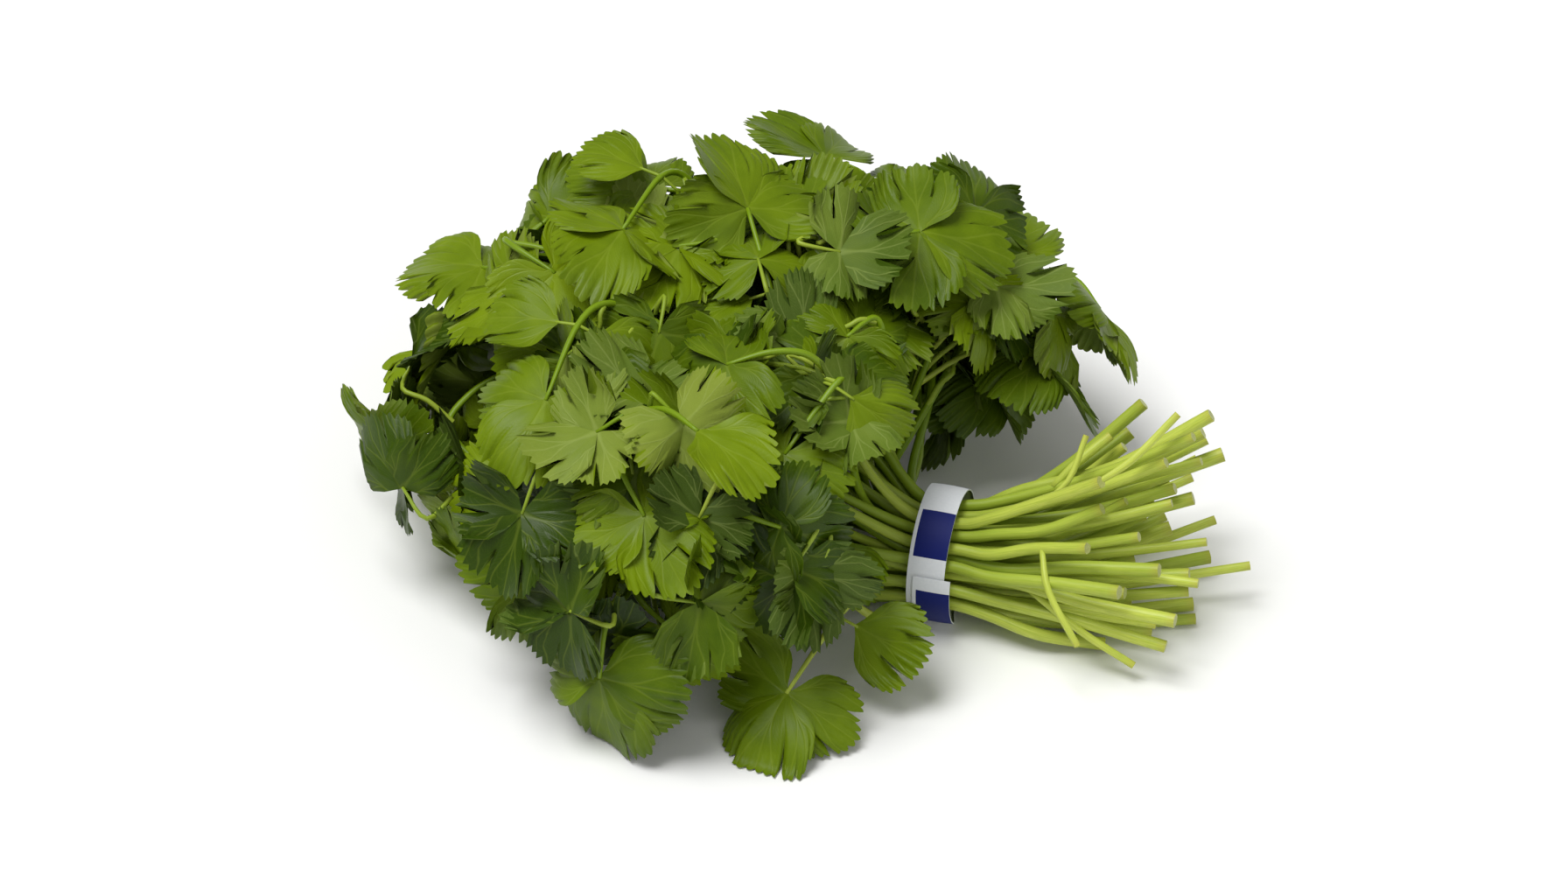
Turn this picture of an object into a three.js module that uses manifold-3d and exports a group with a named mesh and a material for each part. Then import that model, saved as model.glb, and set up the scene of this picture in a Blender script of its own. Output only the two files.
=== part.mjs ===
// A bunch of fresh coriander: leafy stems held by one paper tie, lying on a table, and one loose sprig.
// Millimetres, +Z up. +X runs along the stems towards their cut ends. The origin is on the table,
// in the middle of the flat spot under the tie.

import * as THREE from "three";
import { mergeVertices } from "three/addons/utils/BufferGeometryUtils.js";
import Module from "manifold-3d";

const wasm = await Module();
wasm.setup();

// Driving dimensions
const TIE_WIDTH = 12;
const TIE_THICK = 0.7;
const TIE_INNER_RADIUS = 20.6;
const TIE_LAP_GAP = 0.3;
const TIE_FLAT_HALF = 7;
const TIE_SKEW = 2.2;
const TIE_START_DEG = -38;
const TIE_TURN_DEG = 415;
const TIE_LAP_FROM_DEG = 318;
const TIE_LAP_FULL_DEG = 352;
const TIE_STEPS = 44;

const PACK_RADIUS = 17.4;
const STEM_RADIUS = 1.8;
const CUT_RADIUS = 2.5;
const RACHIS_RADIUS = 1.25;
const TIP_RADIUS = 0.95;
const STEM_SIDES = 5;
const CUT_REACH = 73;
const CUT_REACH_SPREAD = 22;
const CUT_REACH_MORE = 13;
const CUT_FAN = 1.35;
const CUT_FAN_POWER = 1.4;
const CUT_SHIFT_BACK = 14;
const CUT_SHIFT_UP = 14;
const CUT_SHIFT_POWER = 1.5;
const CUT_PILING = 0.12;
const CUT_SWIRL_DEG = 24;
const CUT_STRAY = 3.5;
const CUT_STATIONS = [1, 0.6, 0.25];
// One thin stem, counted from 0, stands out beyond the others
const LONG_STEM = 19;
const LONG_MORE = 18;
const LONG_RADIUS = 1.5;
const TIE_EDGE = 8;
const STEM_LOWEST = 0.3;
const STEM_LOWEST_STEP = 0.01;

const RACHIS = 0.95;
const SHORT_RACHIS = 0.5;
const PETIOLULE = 6.5;
const PETIOLULE_RADIUS = 0.75;
const PETIOLULE_TAPER = 0.9;
const PETIOLULE_ROOT = 1.2;
const PETIOLULE_SIDES = 4;
const BLADE_THICK = 1.3;
const BLADE_LOW = 1.3;

const HEAD_CENTRE = new THREE.Vector3(-85, 0, 54);
const HEAD_HALF = new THREE.Vector3(112, 110, 54);

// The bunch is arranged to be seen from this side: turned from the front, and above the table
const VIEW_AZIMUTH = THREE.MathUtils.degToRad(15);
const VIEW_ELEVATION = THREE.MathUtils.degToRad(40);

const TIE_OUTER_RADIUS = TIE_INNER_RADIUS + TIE_THICK;
const TIE_HEIGHT = Math.sqrt(TIE_OUTER_RADIUS ** 2 - TIE_FLAT_HALF ** 2);

// Each spray's place: across and up are millimetres from the middle of the tie as seen from that side, and
// height is above the table. points is the way the leaf points as seen, in degrees, 0 to the right and
// 90 up. size is the middle leaflet's length, leaflets how many there are. face leans the leaf to that
// side, cup folds its blade along the rib, and ease below 1 lets it give way less to its neighbours.
const SPRAYS = [
  { across: -69, up: 105, height: 106, points: 98, size: 31, leaflets: 5 },
  { across: -34, up: 126, height: 96, points: 150, size: 31, leaflets: 3, face: 0.9 },
  { across: -8, up: 119, height: 90, points: 18, size: 25, leaflets: 3 },
  { across: 6, up: 104, height: 90, points: 78, size: 29, leaflets: 3 },
  { across: -13, up: 96, height: 98, points: 4, size: 33, leaflets: 3, face: 0.9 },
  { across: 24, up: 88, height: 68, points: 62, size: 27, leaflets: 3 },
  { across: 45, up: 74, height: 50, points: 14, size: 28, leaflets: 3 },
  { across: 31, up: 70, height: 58, points: -18, size: 32, leaflets: 5 },
  { across: 20, up: 58, height: 38, points: -32, size: 27, leaflets: 3, face: 0.8 },
  { across: 3, up: 54, height: 28, points: -86, size: 28, leaflets: 3 },
  { across: -21, up: 82, height: 88, points: -105, size: 28, leaflets: 3 },
  { across: -48, up: 104, height: 96, points: 80, size: 28, leaflets: 3 },
  { across: -139, up: 89, height: 82, points: 150, size: 32, leaflets: 5 },
  { across: -118, up: 106, height: 88, points: 66, size: 25, leaflets: 3 },
  { across: -96, up: 109, height: 94, points: 165, size: 28, leaflets: 3 },
  { across: -114, up: 88, height: 98, points: -42, size: 31, leaflets: 3 },
  { across: -92, up: 91, height: 102, points: -118, size: 30, leaflets: 5 },
  { across: -147, up: 66, height: 56, points: 138, size: 33, leaflets: 1, cup: 1.1 },
  { across: -139, up: 64, height: 70, points: 22, size: 30, leaflets: 3 },
  { across: -149, up: 54, height: 40, points: 177, size: 22, leaflets: 3, face: -0.4 },
  { across: -178, up: 35, height: 34, points: 207, size: 25, leaflets: 3 },
  { across: -157, up: 41, height: 34, points: -70, size: 22, leaflets: 1 },
  { across: -141, up: 44, height: 52, points: -152, size: 28, leaflets: 3 },
  { across: -146, up: 8, height: 28, points: 188, size: 28, leaflets: 3 },
  { across: -121, up: 45, height: 92, points: -105, size: 30, leaflets: 5 },
  { across: -98, up: 61, height: 96, points: -88, size: 25, leaflets: 3 },
  { across: -132, up: 18, height: 60, points: -160, size: 28, leaflets: 3 },
  { across: -125, up: -12, height: 42, points: -96, size: 32, leaflets: 3, face: 0.7 },
  { across: -107, up: 9, height: 70, points: -108, size: 30, leaflets: 3 },
  { across: -104, up: -42, height: 22, points: -104, size: 34, leaflets: 3, face: 0.7, ease: 0.4 },
  { across: -92, up: 12, height: 78, points: -64, size: 31, leaflets: 3, face: 0.6 },
  { across: -88, up: -20, height: 40, points: -52, size: 27, leaflets: 3 },
  { across: -66, up: -13, height: 46, points: -100, size: 27, leaflets: 3 },
  { across: -71, up: 56, height: 102, points: 196, size: 28, leaflets: 3 },
  { across: -76, up: 38, height: 106, points: -52, size: 28, leaflets: 1, cup: 0.8 },
  { across: -38, up: 62, height: 88, points: -140, size: 23, leaflets: 3 },
  { across: -49, up: 8, height: 72, points: -18, size: 26, leaflets: 3 },
  { across: -37, up: 1, height: 49, points: -70, size: 25, leaflets: 1, cup: 0.9 },
  { across: -51, up: 31, height: 84, points: -122, size: 28, leaflets: 5 },
  { across: -32, up: 78, height: 66, points: -98, size: 28, leaflets: 3 },
  { across: -16, up: 46, height: 34, points: -62, size: 26, leaflets: 3 },
];
const LOOSE_SPRIG = { across: -50, up: -43, height: 14, points: -118, size: 32, leaflets: 5, ease: 0.3 };
const LOOSE_SPRIG_FACE = [0.05, -0.42, 0.9];
const LOOSE_SPRIG_CUT = { across: -8, up: -25.5, height: 2.6 };
const FACE = 0.35;
const FACE_STRAY = 0.35;
const FACE_LIFT = 0.15;
const LEAN_BACK = 0.6;

// Sprays on the side away from that view: how many, the sector round the head and the stretch along it
const HIDDEN_SPRAYS = 7;
const HIDDEN_FROM_DEG = -112;
const HIDDEN_SECTOR_DEG = 140;
const HIDDEN_STEP = 0.618;
const HIDDEN_FIRST = 0.35;
const HIDDEN_FROM_X = -175;
const HIDDEN_ALONG = 130;
const HIDDEN_NARROWING = 1.1;
const HIDDEN_DEPTH = 0.86;
const HIDDEN_LOWEST = 6;
const HIDDEN_OUT = [-0.5, 0.9, -0.1];
const HIDDEN_SIZE = [26, 31];

// Leaflets: how the side ones and the lower ones stand, and how much each differs from the next
const SIDE_LEAFLET = { turn: 94, share: 0.86 };
const LOWER_LEAFLET = { turn: 92, share: 0.82 };
const LEAFLET_TURN = [-8, 8];
const LEAFLET_SAG = [-0.42, 0.12];
const LEAFLET_ROLL = [-0.45, 0.45];
const LEAFLET_SIZE = [0.94, 1.06];
const LEAFLET_DROOP = [0.02, 0.3];
const LEAFLET_CUP = [-0.35, 0.5];
const LEAFLET_PHASE = [0, 6.28];
const RIPPLE = 0.05;
const RIPPLES = 5;
const RIPPLE_FOOT = 0.05;

// A stem's way from the tie: how it sets out, and how straight it leaves the tie and meets its leaf
const SET_OUT_SPREAD = 0.5;
const SET_OUT_RISE = 0.12;
const SET_OUT = { share: 0.42, least: 34, most: 70 };
const ARRIVAL = { share: 0.3, most: 40 };
const FOOT_LOWEST = 3;
const GOLDEN_TURN = 2.399963;

// Blade outline: tooth tips and the notches between them, along a fan seen from the leaflet's foot
const TEETH = 9;
const LOBE_NOTCHES = [2, 5];
const FAN_HALF_DEG = 47;
const FAN_POWER = 0.72;
const TOOTH_DEPTH = 0.13;
const LOBE_DEPTH = 0.32;
const RIB_AT = 0.3;
const BLADE_FOOT = -0.03;

// Edges shorter than this are closed up once pieces are joined
const SLIVER = 0.03;

// Solids that share more than this many cubic millimetres cross
const TOUCHING = 1e-4;

// Clearing: how far apart the blades and stems are pushed
const ROUTE_POINTS = 8;
const BLADE_CLEARANCE = 4.6;
const STEM_CLEARANCE = 2.3;
const STEM_CLEARANCE_AT_TIE = 1.8;
const CUT_CLEARANCE = 2.9;
const CORE_CLEARANCE = 11;
const CORE_ROUNDS = 90;
const CLEARING_ROUNDS = 180;
const STEM_PUSH = 0.5;
const BLADE_PUSH = 0.25;
const HOMING = 0.03;
const HELD_POINTS = 2;
const MOST_MOVE = 1.5;
const OWN_BEND = 0.6;
const NEXT_BEND = 0.2;
const FOLLOW_POWER = 1.5;
const FLOOR_ROOM = 2.7;
const BLADE_CORES = [[0.5, 0]];
const BLADE_SPOTS = [
  [0.22, 0],
  [0.5, 0],
  [0.85, 0],
  [0.36, 0.34],
  [0.36, -0.34],
  [0.62, 0.42],
  [0.62, -0.42],
  [0.72, 0.2],
  [0.72, -0.2],
];

const LEAF = new THREE.MeshStandardMaterial({ color: 0x6f9427, roughness: 0.55, metalness: 0 });
const PAPER = new THREE.MeshStandardMaterial({ color: 0xe8e8ea, roughness: 0.6, metalness: 0 });

const vec = (x, y, z) => new THREE.Vector3(x, y, z);
const along = (from, direction, distance) => from.clone().addScaledVector(direction, distance);
const UPWARD = vec(0, 0, 1);
const clamp01 = (t) => Math.min(1, Math.max(0, t));
const smooth = (t) => clamp01(t) ** 2 * (3 - 2 * clamp01(t));

// A repeatable draw between 0 and 1: the same number always gives the same draw
function draw(seed) {
  const x = Math.sin(seed * 12.9898 + 4.1414) * 4375.8545;
  return x - Math.floor(x);
}

// A repeatable draw between low and high
function between(seed, low, high) {
  return low + (high - low) * draw(seed);
}

const ACROSS = vec(Math.cos(VIEW_AZIMUTH), Math.sin(VIEW_AZIMUTH), 0);
const TOWARDS = vec(
  Math.sin(VIEW_AZIMUTH) * Math.cos(VIEW_ELEVATION),
  -Math.cos(VIEW_AZIMUTH) * Math.cos(VIEW_ELEVATION),
  Math.sin(VIEW_ELEVATION),
);
const UP = TOWARDS.clone().cross(ACROSS);

// The point at that height above the table which is seen across and up from the tie's middle
function seenAt({ across, up, height }) {
  const back = (up - (height - TIE_HEIGHT) * Math.cos(VIEW_ELEVATION)) / Math.sin(VIEW_ELEVATION);
  const turn = [Math.cos(VIEW_AZIMUTH), Math.sin(VIEW_AZIMUTH)];
  return vec(across * turn[0] - back * turn[1], across * turn[1] + back * turn[0], height);
}

// The way out of the leafy head at a point, square to its rounded outside
function outwardAt(point) {
  const from = point.clone().sub(HEAD_CENTRE);
  return from.divide(HEAD_HALF).divide(HEAD_HALF).normalize();
}

// A spray's direction and the way its upper face looks. A leaf that points out of the head leans back, so
// that it reaches out as far as it should
function spraySet(spray, index) {
  const face = spray.face ?? FACE;
  const stray = (seed) => between(seed, -FACE_STRAY, FACE_STRAY);
  const normal = outwardAt(spray.spot).multiplyScalar(1 - face * 0.5);
  normal.addScaledVector(TOWARDS, face);
  normal.add(vec(stray(index * 7 + 1), stray(index * 7 + 2), FACE_LIFT)).normalize();
  if (spray.lying) normal.copy(spray.lying).normalize();
  const angle = THREE.MathUtils.degToRad(spray.points);
  const seen = ACROSS.clone().multiplyScalar(Math.cos(angle)).addScaledVector(UP, Math.sin(angle));
  if (!spray.lying) normal.addScaledVector(seen, -LEAN_BACK * Math.max(0, seen.dot(normal))).normalize();
  const direction = along(seen, normal, -seen.dot(normal)).normalize();
  return { direction, normal };
}

// Sprays of the side that the view doesn't show: round the back and under the head, pointing out of it
function hiddenSpray(index) {
  const share = (index * HIDDEN_STEP + HIDDEN_FIRST) % 1;
  const round = THREE.MathUtils.degToRad(HIDDEN_FROM_DEG + HIDDEN_SECTOR_DEG * share);
  const x = HIDDEN_FROM_X + HIDDEN_ALONG * ((index + 0.5) / HIDDEN_SPRAYS);
  const end = (x - HEAD_CENTRE.x) / (HEAD_HALF.x * HIDDEN_NARROWING);
  const narrow = Math.sqrt(1 - end ** 2) * HIDDEN_DEPTH;
  const height = HEAD_CENTRE.z * (1 + narrow * Math.sin(round));
  const spot = vec(x, HEAD_HALF.y * narrow * Math.cos(round), Math.max(height, HIDDEN_LOWEST));
  const normal = outwardAt(spot);
  const [back, aside, down] = HIDDEN_OUT;
  const outward = vec(back, Math.sign(spot.y || 1) * aside, down);
  const direction = along(outward, normal, -outward.dot(normal)).normalize();
  const size = between(index + 300, ...HIDDEN_SIZE);
  return { spot, normal, direction, size, leaflets: 3 };
}

// Each leaflet of a spray as its foot (from the spray's tip), direction, upper side, length and bend
function leafletsOf(spray, index) {
  const turned = (degrees) =>
    spray.direction.clone().applyAxisAngle(spray.normal, THREE.MathUtils.degToRad(degrees));
  const foot = spray.direction.clone().multiplyScalar(-spray.rachis);
  const places = [
    { turn: 0, from: vec(0, 0, 0), share: 1, stalk: 0 },
    { turn: SIDE_LEAFLET.turn, from: vec(0, 0, 0), share: SIDE_LEAFLET.share, stalk: 0 },
    { turn: -SIDE_LEAFLET.turn, from: vec(0, 0, 0), share: SIDE_LEAFLET.share, stalk: 0 },
    { turn: LOWER_LEAFLET.turn, from: foot, share: LOWER_LEAFLET.share, stalk: PETIOLULE },
    { turn: -LOWER_LEAFLET.turn, from: foot, share: LOWER_LEAFLET.share, stalk: PETIOLULE },
  ];
  return places.slice(0, spray.leaflets).map((place, k) => {
    const seed = index * 31 + k * 5 + 11;
    const flat = turned(place.turn + between(seed, ...LEAFLET_TURN));
    const sag = between(seed + 1, ...LEAFLET_SAG);
    const direction = along(flat, spray.normal, sag).normalize();
    const side = spray.normal.clone().cross(direction).normalize();
    const roll = between(seed + 2, ...LEAFLET_ROLL);
    const upper = direction.clone().cross(side).applyAxisAngle(direction, roll);
    return {
      base: along(place.from, direction, place.stalk),
      from: place.from,
      stalk: place.stalk,
      direction,
      upper,
      side: upper.clone().cross(direction),
      size: spray.size * place.share * between(seed + 3, ...LEAFLET_SIZE),
      droop: between(seed + 4, ...LEAFLET_DROOP),
      cup: spray.cup ?? between(seed + 5, ...LEAFLET_CUP),
      phase: between(seed + 6, ...LEAFLET_PHASE),
    };
  });
}

// The tie's stem places, as on a sunflower's head, so that each stem has about the same room
function slotPlace(k, count) {
  const radius = PACK_RADIUS * Math.sqrt((k + 0.5) / count);
  const angle = k * GOLDEN_TURN;
  return [radius * Math.cos(angle), radius * Math.sin(angle)];
}

// Gives each spray the free place in the tie that lies most nearly the way the spray does
function takeSlots(sprays) {
  const wanted = sprays.map((spray, index) => ({
    index,
    y: ((spray.foot.y - HEAD_CENTRE.y) / HEAD_HALF.y) * PACK_RADIUS,
    z: ((spray.foot.z - HEAD_CENTRE.z) / HEAD_HALF.z) * PACK_RADIUS,
  }));
  wanted.sort((a, b) => Math.hypot(b.y, b.z) - Math.hypot(a.y, a.z));
  const free = sprays.map((_, k) => slotPlace(k, sprays.length));
  for (const want of wanted) {
    const gap = (slot) => (slot[0] - want.y) ** 2 + (slot[1] - want.z) ** 2;
    free.sort((a, b) => gap(a) - gap(b));
    sprays[want.index].slot = free.shift();
  }
}

// The stem between its place in the tie and the foot of its leaf: a Bezier curve that leaves the tie
// along the bunch and comes to the leaf along the leaf's own direction
function routeOf(spray) {
  const [y, z] = spray.slot ?? [0, 0];
  const start = spray.cut ?? vec(-TIE_EDGE, y, TIE_HEIGHT + z);
  const reach = spray.foot.distanceTo(start);
  const spread = SET_OUT_SPREAD / PACK_RADIUS;
  const held = vec(-1, spread * y, spread * z + SET_OUT_RISE);
  const out = (spray.cut ? spray.foot.clone().sub(start) : held).normalize();
  const straight = Math.min(SET_OUT.most, Math.max(SET_OUT.least, SET_OUT.share * reach));
  const first = along(start, out, straight);
  const last = along(spray.foot, spray.direction, -Math.min(ARRIVAL.most, ARRIVAL.share * reach));
  const curve = new THREE.CubicBezierCurve3(start, first, last, spray.foot);
  const points = curve.getPoints(ROUTE_POINTS - 2);
  return [...points, spray.tip.clone()];
}

// A stem on its cut side: it fans out from the tie, turns a little round the bunch and strays by itself
function cutSide(spray, index) {
  const [y, z] = spray.slot;
  const reach = CUT_REACH + between(index + 500, -CUT_REACH_SPREAD, CUT_REACH_MORE);
  return CUT_STATIONS.map((share) => {
    const turn = THREE.MathUtils.degToRad(CUT_SWIRL_DEG) * share;
    const fan = 1 + CUT_FAN * share ** CUT_FAN_POWER;
    const stray = CUT_STRAY * share ** 2;
    const side = fan * (y * Math.cos(turn) - z * Math.sin(turn)) + between(index + 600, -stray, stray);
    const rise = fan * (y * Math.sin(turn) + z * Math.cos(turn)) + between(index + 700, -stray, stray);
    const shift = share ** CUT_SHIFT_POWER;
    const height = TIE_HEIGHT + rise + CUT_SHIFT_UP * shift;
    const low = CUT_CLEARANCE + CUT_PILING * Math.max(0, height);
    const x = TIE_EDGE + (reach - TIE_EDGE) * share;
    return vec(x, side + CUT_SHIFT_BACK * shift, Math.max(height, low));
  });
}

// The points that hold still are those at the tie's two edges. Gives how freely each point of a stem moves
function freedomOf(spray) {
  const held = spray.stem.length - ROUTE_POINTS;
  return spray.stem.map((_, k) => {
    const steps = k < held ? held - 1 - k : k - held;
    return Math.min(1, Math.max(0, steps) / HELD_POINTS);
  });
}

// The straight lengths of a spray's stem outside the tie, each with the room that it keeps round it
function lengthsOf(spray, s) {
  const held = spray.stem.length - ROUTE_POINTS;
  const lengths = [];
  for (let k = 0; k + 1 < spray.stem.length; k++) {
    if (k === held - 1) continue;
    const steps = k < held ? held - 1.5 - k : k + 0.5 - held;
    const away = k < held ? CUT_CLEARANCE : STEM_CLEARANCE;
    const room = STEM_CLEARANCE_AT_TIE + (away - STEM_CLEARANCE_AT_TIE) * smooth(steps / HELD_POINTS);
    lengths.push({ s, a: k, b: k + 1, room });
  }
  return lengths;
}

// Spots spread over a spray's blades, as steps from the spray's tip, each with the room that it keeps
function spotsOf(spray, s, shares, room) {
  return spray.blades.flatMap((leaflet) =>
    shares.map(([u, v]) => {
      const step = along(leaflet.base, leaflet.direction, u * leaflet.size);
      step.addScaledVector(leaflet.side, v * leaflet.size);
      step.addScaledVector(leaflet.upper, bladeRise(leaflet, u, v));
      return { s, step, room };
    }),
  );
}

// How far along two straight lengths, as shares of each, they come closest
function closestShares(p, u, q, v) {
  const w = p.clone().sub(q);
  const uu = u.dot(u);
  const vv = v.dot(v);
  const uv = u.dot(v);
  const uw = u.dot(w);
  const vw = v.dot(w);
  const across = uu * vv - uv * uv;
  let s = across > 1e-6 * uu * vv ? clamp01((uv * vw - vv * uw) / across) : 0.5;
  const t = clamp01((uv * s + vw) / vv);
  s = clamp01((uv * t - uw) / uu);
  return [s, t];
}

// Pushes blades and stems of different sprays apart until they pass each other clear. A spray's blades
// move with its tip, and its stem bends after them. Nothing goes below the table or into the tie.
function clear(sprays) {
  const lengths = sprays.flatMap(lengthsOf);
  const spots = sprays.flatMap((spray, s) => spotsOf(spray, s, BLADE_SPOTS, BLADE_CLEARANCE));
  const cores = sprays.flatMap((spray, s) => spotsOf(spray, s, BLADE_CORES, CORE_CLEARANCE));
  const freedom = sprays.map(freedomOf);
  for (let round = 0; round < CLEARING_ROUNDS; round++) {
    const moves = sprays.map((spray) => spray.stem.map(() => vec(0, 0, 0)));
    const pushLength = (piece, share, way, distance) => {
      moves[piece.s][piece.a].addScaledVector(way, distance * (1 - share));
      moves[piece.s][piece.b].addScaledVector(way, distance * share);
    };
    const pushBlade = (spot, way, distance) => {
      moves[spot.s][sprays[spot.s].stem.length - 1].addScaledVector(way, distance * BLADE_PUSH);
    };
    const starts = lengths.map((piece) => sprays[piece.s].stem[piece.a]);
    const runs = lengths.map(({ s, a, b }) => sprays[s].stem[b].clone().sub(sprays[s].stem[a]));
    const middles = lengths.map((_, k) => along(starts[k], runs[k], 0.5));
    const halves = runs.map((run) => run.length() / 2);
    const placeOf = (spot) => sprays[spot.s].stem.at(-1).clone().add(spot.step);
    const places = spots.map(placeOf);
    const guards = round < CORE_ROUNDS ? cores : spots;
    const guardPlaces = guards.map(placeOf);
    for (let i = 0; i < lengths.length; i++) {
      for (let j = i + 1; j < lengths.length; j++) {
        if (lengths[i].s === lengths[j].s) continue;
        const room = lengths[i].room + lengths[j].room;
        const reach = room + halves[i] + halves[j];
        if (middles[i].distanceToSquared(middles[j]) > reach * reach) continue;
        const [s, t] = closestShares(starts[i], runs[i], starts[j], runs[j]);
        const apart = along(starts[i], runs[i], s).sub(along(starts[j], runs[j], t));
        const distance = apart.length();
        if (distance >= room || distance < 1e-6) continue;
        apart.divideScalar(distance);
        pushLength(lengths[i], s, apart, ((room - distance) / 2) * STEM_PUSH);
        pushLength(lengths[j], t, apart, ((distance - room) / 2) * STEM_PUSH);
      }
      for (let j = 0; j < guards.length; j++) {
        if (lengths[i].s === guards[j].s) continue;
        const room = lengths[i].room + guards[j].room;
        const reach = room + halves[i];
        if (middles[i].distanceToSquared(guardPlaces[j]) > reach * reach) continue;
        const from = guardPlaces[j].clone().sub(starts[i]);
        const share = clamp01(from.dot(runs[i]) / runs[i].dot(runs[i]));
        const apart = along(from, runs[i], -share);
        const distance = apart.length();
        if (distance >= room || distance < 1e-6) continue;
        apart.divideScalar(distance);
        pushLength(lengths[i], share, apart, ((distance - room) / 2) * STEM_PUSH);
        pushBlade(guards[j], apart, (room - distance) / 2);
      }
      for (const [share, point] of [[0, starts[i]], [1, starts[i].clone().add(runs[i])]]) {
        const low = Math.min(lengths[i].room, FLOOR_ROOM) - point.z;
        if (low > 0) pushLength(lengths[i], share, UPWARD, low * STEM_PUSH);
      }
    }
    for (let i = 0; i < spots.length; i++) {
      for (let j = i + 1; j < spots.length; j++) {
        if (spots[i].s === spots[j].s) continue;
        const room = 2 * BLADE_CLEARANCE;
        if (places[i].distanceToSquared(places[j]) > room * room) continue;
        const apart = places[i].clone().sub(places[j]);
        const distance = Math.max(1e-6, apart.length());
        apart.divideScalar(distance);
        pushBlade(spots[i], apart, (room - distance) / 2);
        pushBlade(spots[j], apart, (distance - room) / 2);
      }
      const low = FLOOR_ROOM - places[i].z;
      if (low > 0) pushBlade(spots[i], UPWARD, low);
      const out = Math.hypot(places[i].y, places[i].z - TIE_HEIGHT);
      const near = TIE_WIDTH / 2 + TIE_SKEW + BLADE_CLEARANCE - Math.abs(places[i].x);
      if (near > 0 && out < TIE_OUTER_RADIUS + BLADE_CLEARANCE) {
        pushBlade(spots[i], vec(Math.sign(places[i].x), 0, 0), near);
      }
    }
    const home = HOMING * (1 - round / CLEARING_ROUNDS);
    sprays.forEach((spray, s) => {
      const tip = spray.stem.length - 1;
      const held = tip + 1 - ROUTE_POINTS;
      const whole = moves[s][tip].add(moves[s][tip - 1]).clampLength(0, MOST_MOVE);
      whole.multiplyScalar(spray.ease ?? 1);
      whole.addScaledVector(spray.tip.clone().sub(spray.stem[tip]), home);
      for (let k = 0; k < tip - 1; k++) {
        const bend = moves[s][k].clone().multiplyScalar(OWN_BEND);
        bend.addScaledVector(moves[s][Math.max(0, k - 1)], NEXT_BEND);
        bend.addScaledVector(moves[s][Math.min(tip - 2, k + 1)], NEXT_BEND).clampLength(0, MOST_MOVE);
        spray.stem[k].addScaledVector(bend, freedom[s][k]);
        if (k <= held) continue;
        spray.stem[k].addScaledVector(whole, ((k - held) / (tip - 1 - held)) ** FOLLOW_POWER);
      }
      spray.stem[tip - 1].add(whole);
      spray.stem[tip].add(whole);
    });
  }
}

// Lays out every spray: where its leaf is, how its stem runs, and which place it has in the tie
function layOut() {
  const sprays = SPRAYS.map((spray) => ({ ...spray, spot: seenAt(spray) }));
  sprays.forEach((spray, index) => Object.assign(spray, spraySet(spray, index)));
  for (let k = 0; k < HIDDEN_SPRAYS; k++) sprays.push(hiddenSpray(k));
  const held = sprays.slice();
  const lying = vec(...LOOSE_SPRIG_FACE);
  const loose = { ...LOOSE_SPRIG, spot: seenAt(LOOSE_SPRIG), cut: seenAt(LOOSE_SPRIG_CUT), lying };
  Object.assign(loose, spraySet(loose, sprays.length));
  sprays.push(loose);
  sprays.forEach((spray, index) => {
    spray.tip = spray.spot.clone();
    spray.rachis = spray.size * (spray.leaflets > 3 ? RACHIS : SHORT_RACHIS);
    spray.foot = along(spray.tip, spray.direction, -spray.rachis);
    spray.foot.z = Math.max(spray.foot.z, FOOT_LOWEST);
    spray.blades = leafletsOf(spray, index);
  });
  takeSlots(held);
  held.forEach((spray, index) => {
    const [y, z] = spray.slot;
    spray.stem = [...cutSide(spray, index), vec(TIE_EDGE, y, TIE_HEIGHT + z), ...routeOf(spray)];
  });
  loose.stem = routeOf(loose);
  clear(sprays);
  const long = sprays[LONG_STEM];
  const [end, next] = long.stem;
  end.addScaledVector(end.clone().sub(next).normalize(), LONG_MORE);
  long.cutRadius = LONG_RADIUS;
  return sprays;
}

// A closed mesh from its corner points and triangles
function closedGeometry(points, triangles) {
  const geometry = new THREE.BufferGeometry().setFromPoints(points);
  geometry.setIndex(triangles.flat());
  return geometry;
}

// A tapering tube round a row of points, closed at both ends
function taperedTube(points, radii, sides) {
  const rings = [];
  let across = vec(0, 0.31, 0.95);
  points.forEach((point, k) => {
    const before = points[Math.max(0, k - 1)];
    const after = points[Math.min(points.length - 1, k + 1)];
    const heading = after.clone().sub(before).normalize();
    across = along(across, heading, -across.dot(heading)).normalize();
    const other = heading.clone().cross(across);
    for (let m = 0; m < sides; m++) {
      const angle = (2 * Math.PI * m) / sides;
      const corner = along(point, across, radii[k] * Math.cos(angle));
      corner.addScaledVector(other, radii[k] * Math.sin(angle));
      corner.z = Math.max(corner.z, STEM_LOWEST + STEM_LOWEST_STEP * m);
      rings.push(corner);
    }
  });
  const triangles = [];
  for (let k = 0; k + 1 < points.length; k++) {
    for (let m = 0; m < sides; m++) {
      const a = k * sides + m;
      const b = k * sides + ((m + 1) % sides);
      triangles.push([a, b, b + sides], [a, b + sides, a + sides]);
    }
  }
  const last = (points.length - 1) * sides;
  for (let m = 1; m + 1 < sides; m++) {
    triangles.push([0, m + 1, m], [last, last + m, last + m + 1]);
  }
  return closedGeometry(rings, triangles);
}

// How far a blade stands above its flat plane at u along and v across, both as shares of its length
function bladeRise(leaflet, u, v) {
  const turn = Math.atan2(v, u + RIPPLE_FOOT);
  const ripple = RIPPLE * Math.sin(RIPPLES * turn + leaflet.phase) * (u * u + v * v);
  return leaflet.size * (-leaflet.droop * u * u + leaflet.cup * v * v + ripple);
}

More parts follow.
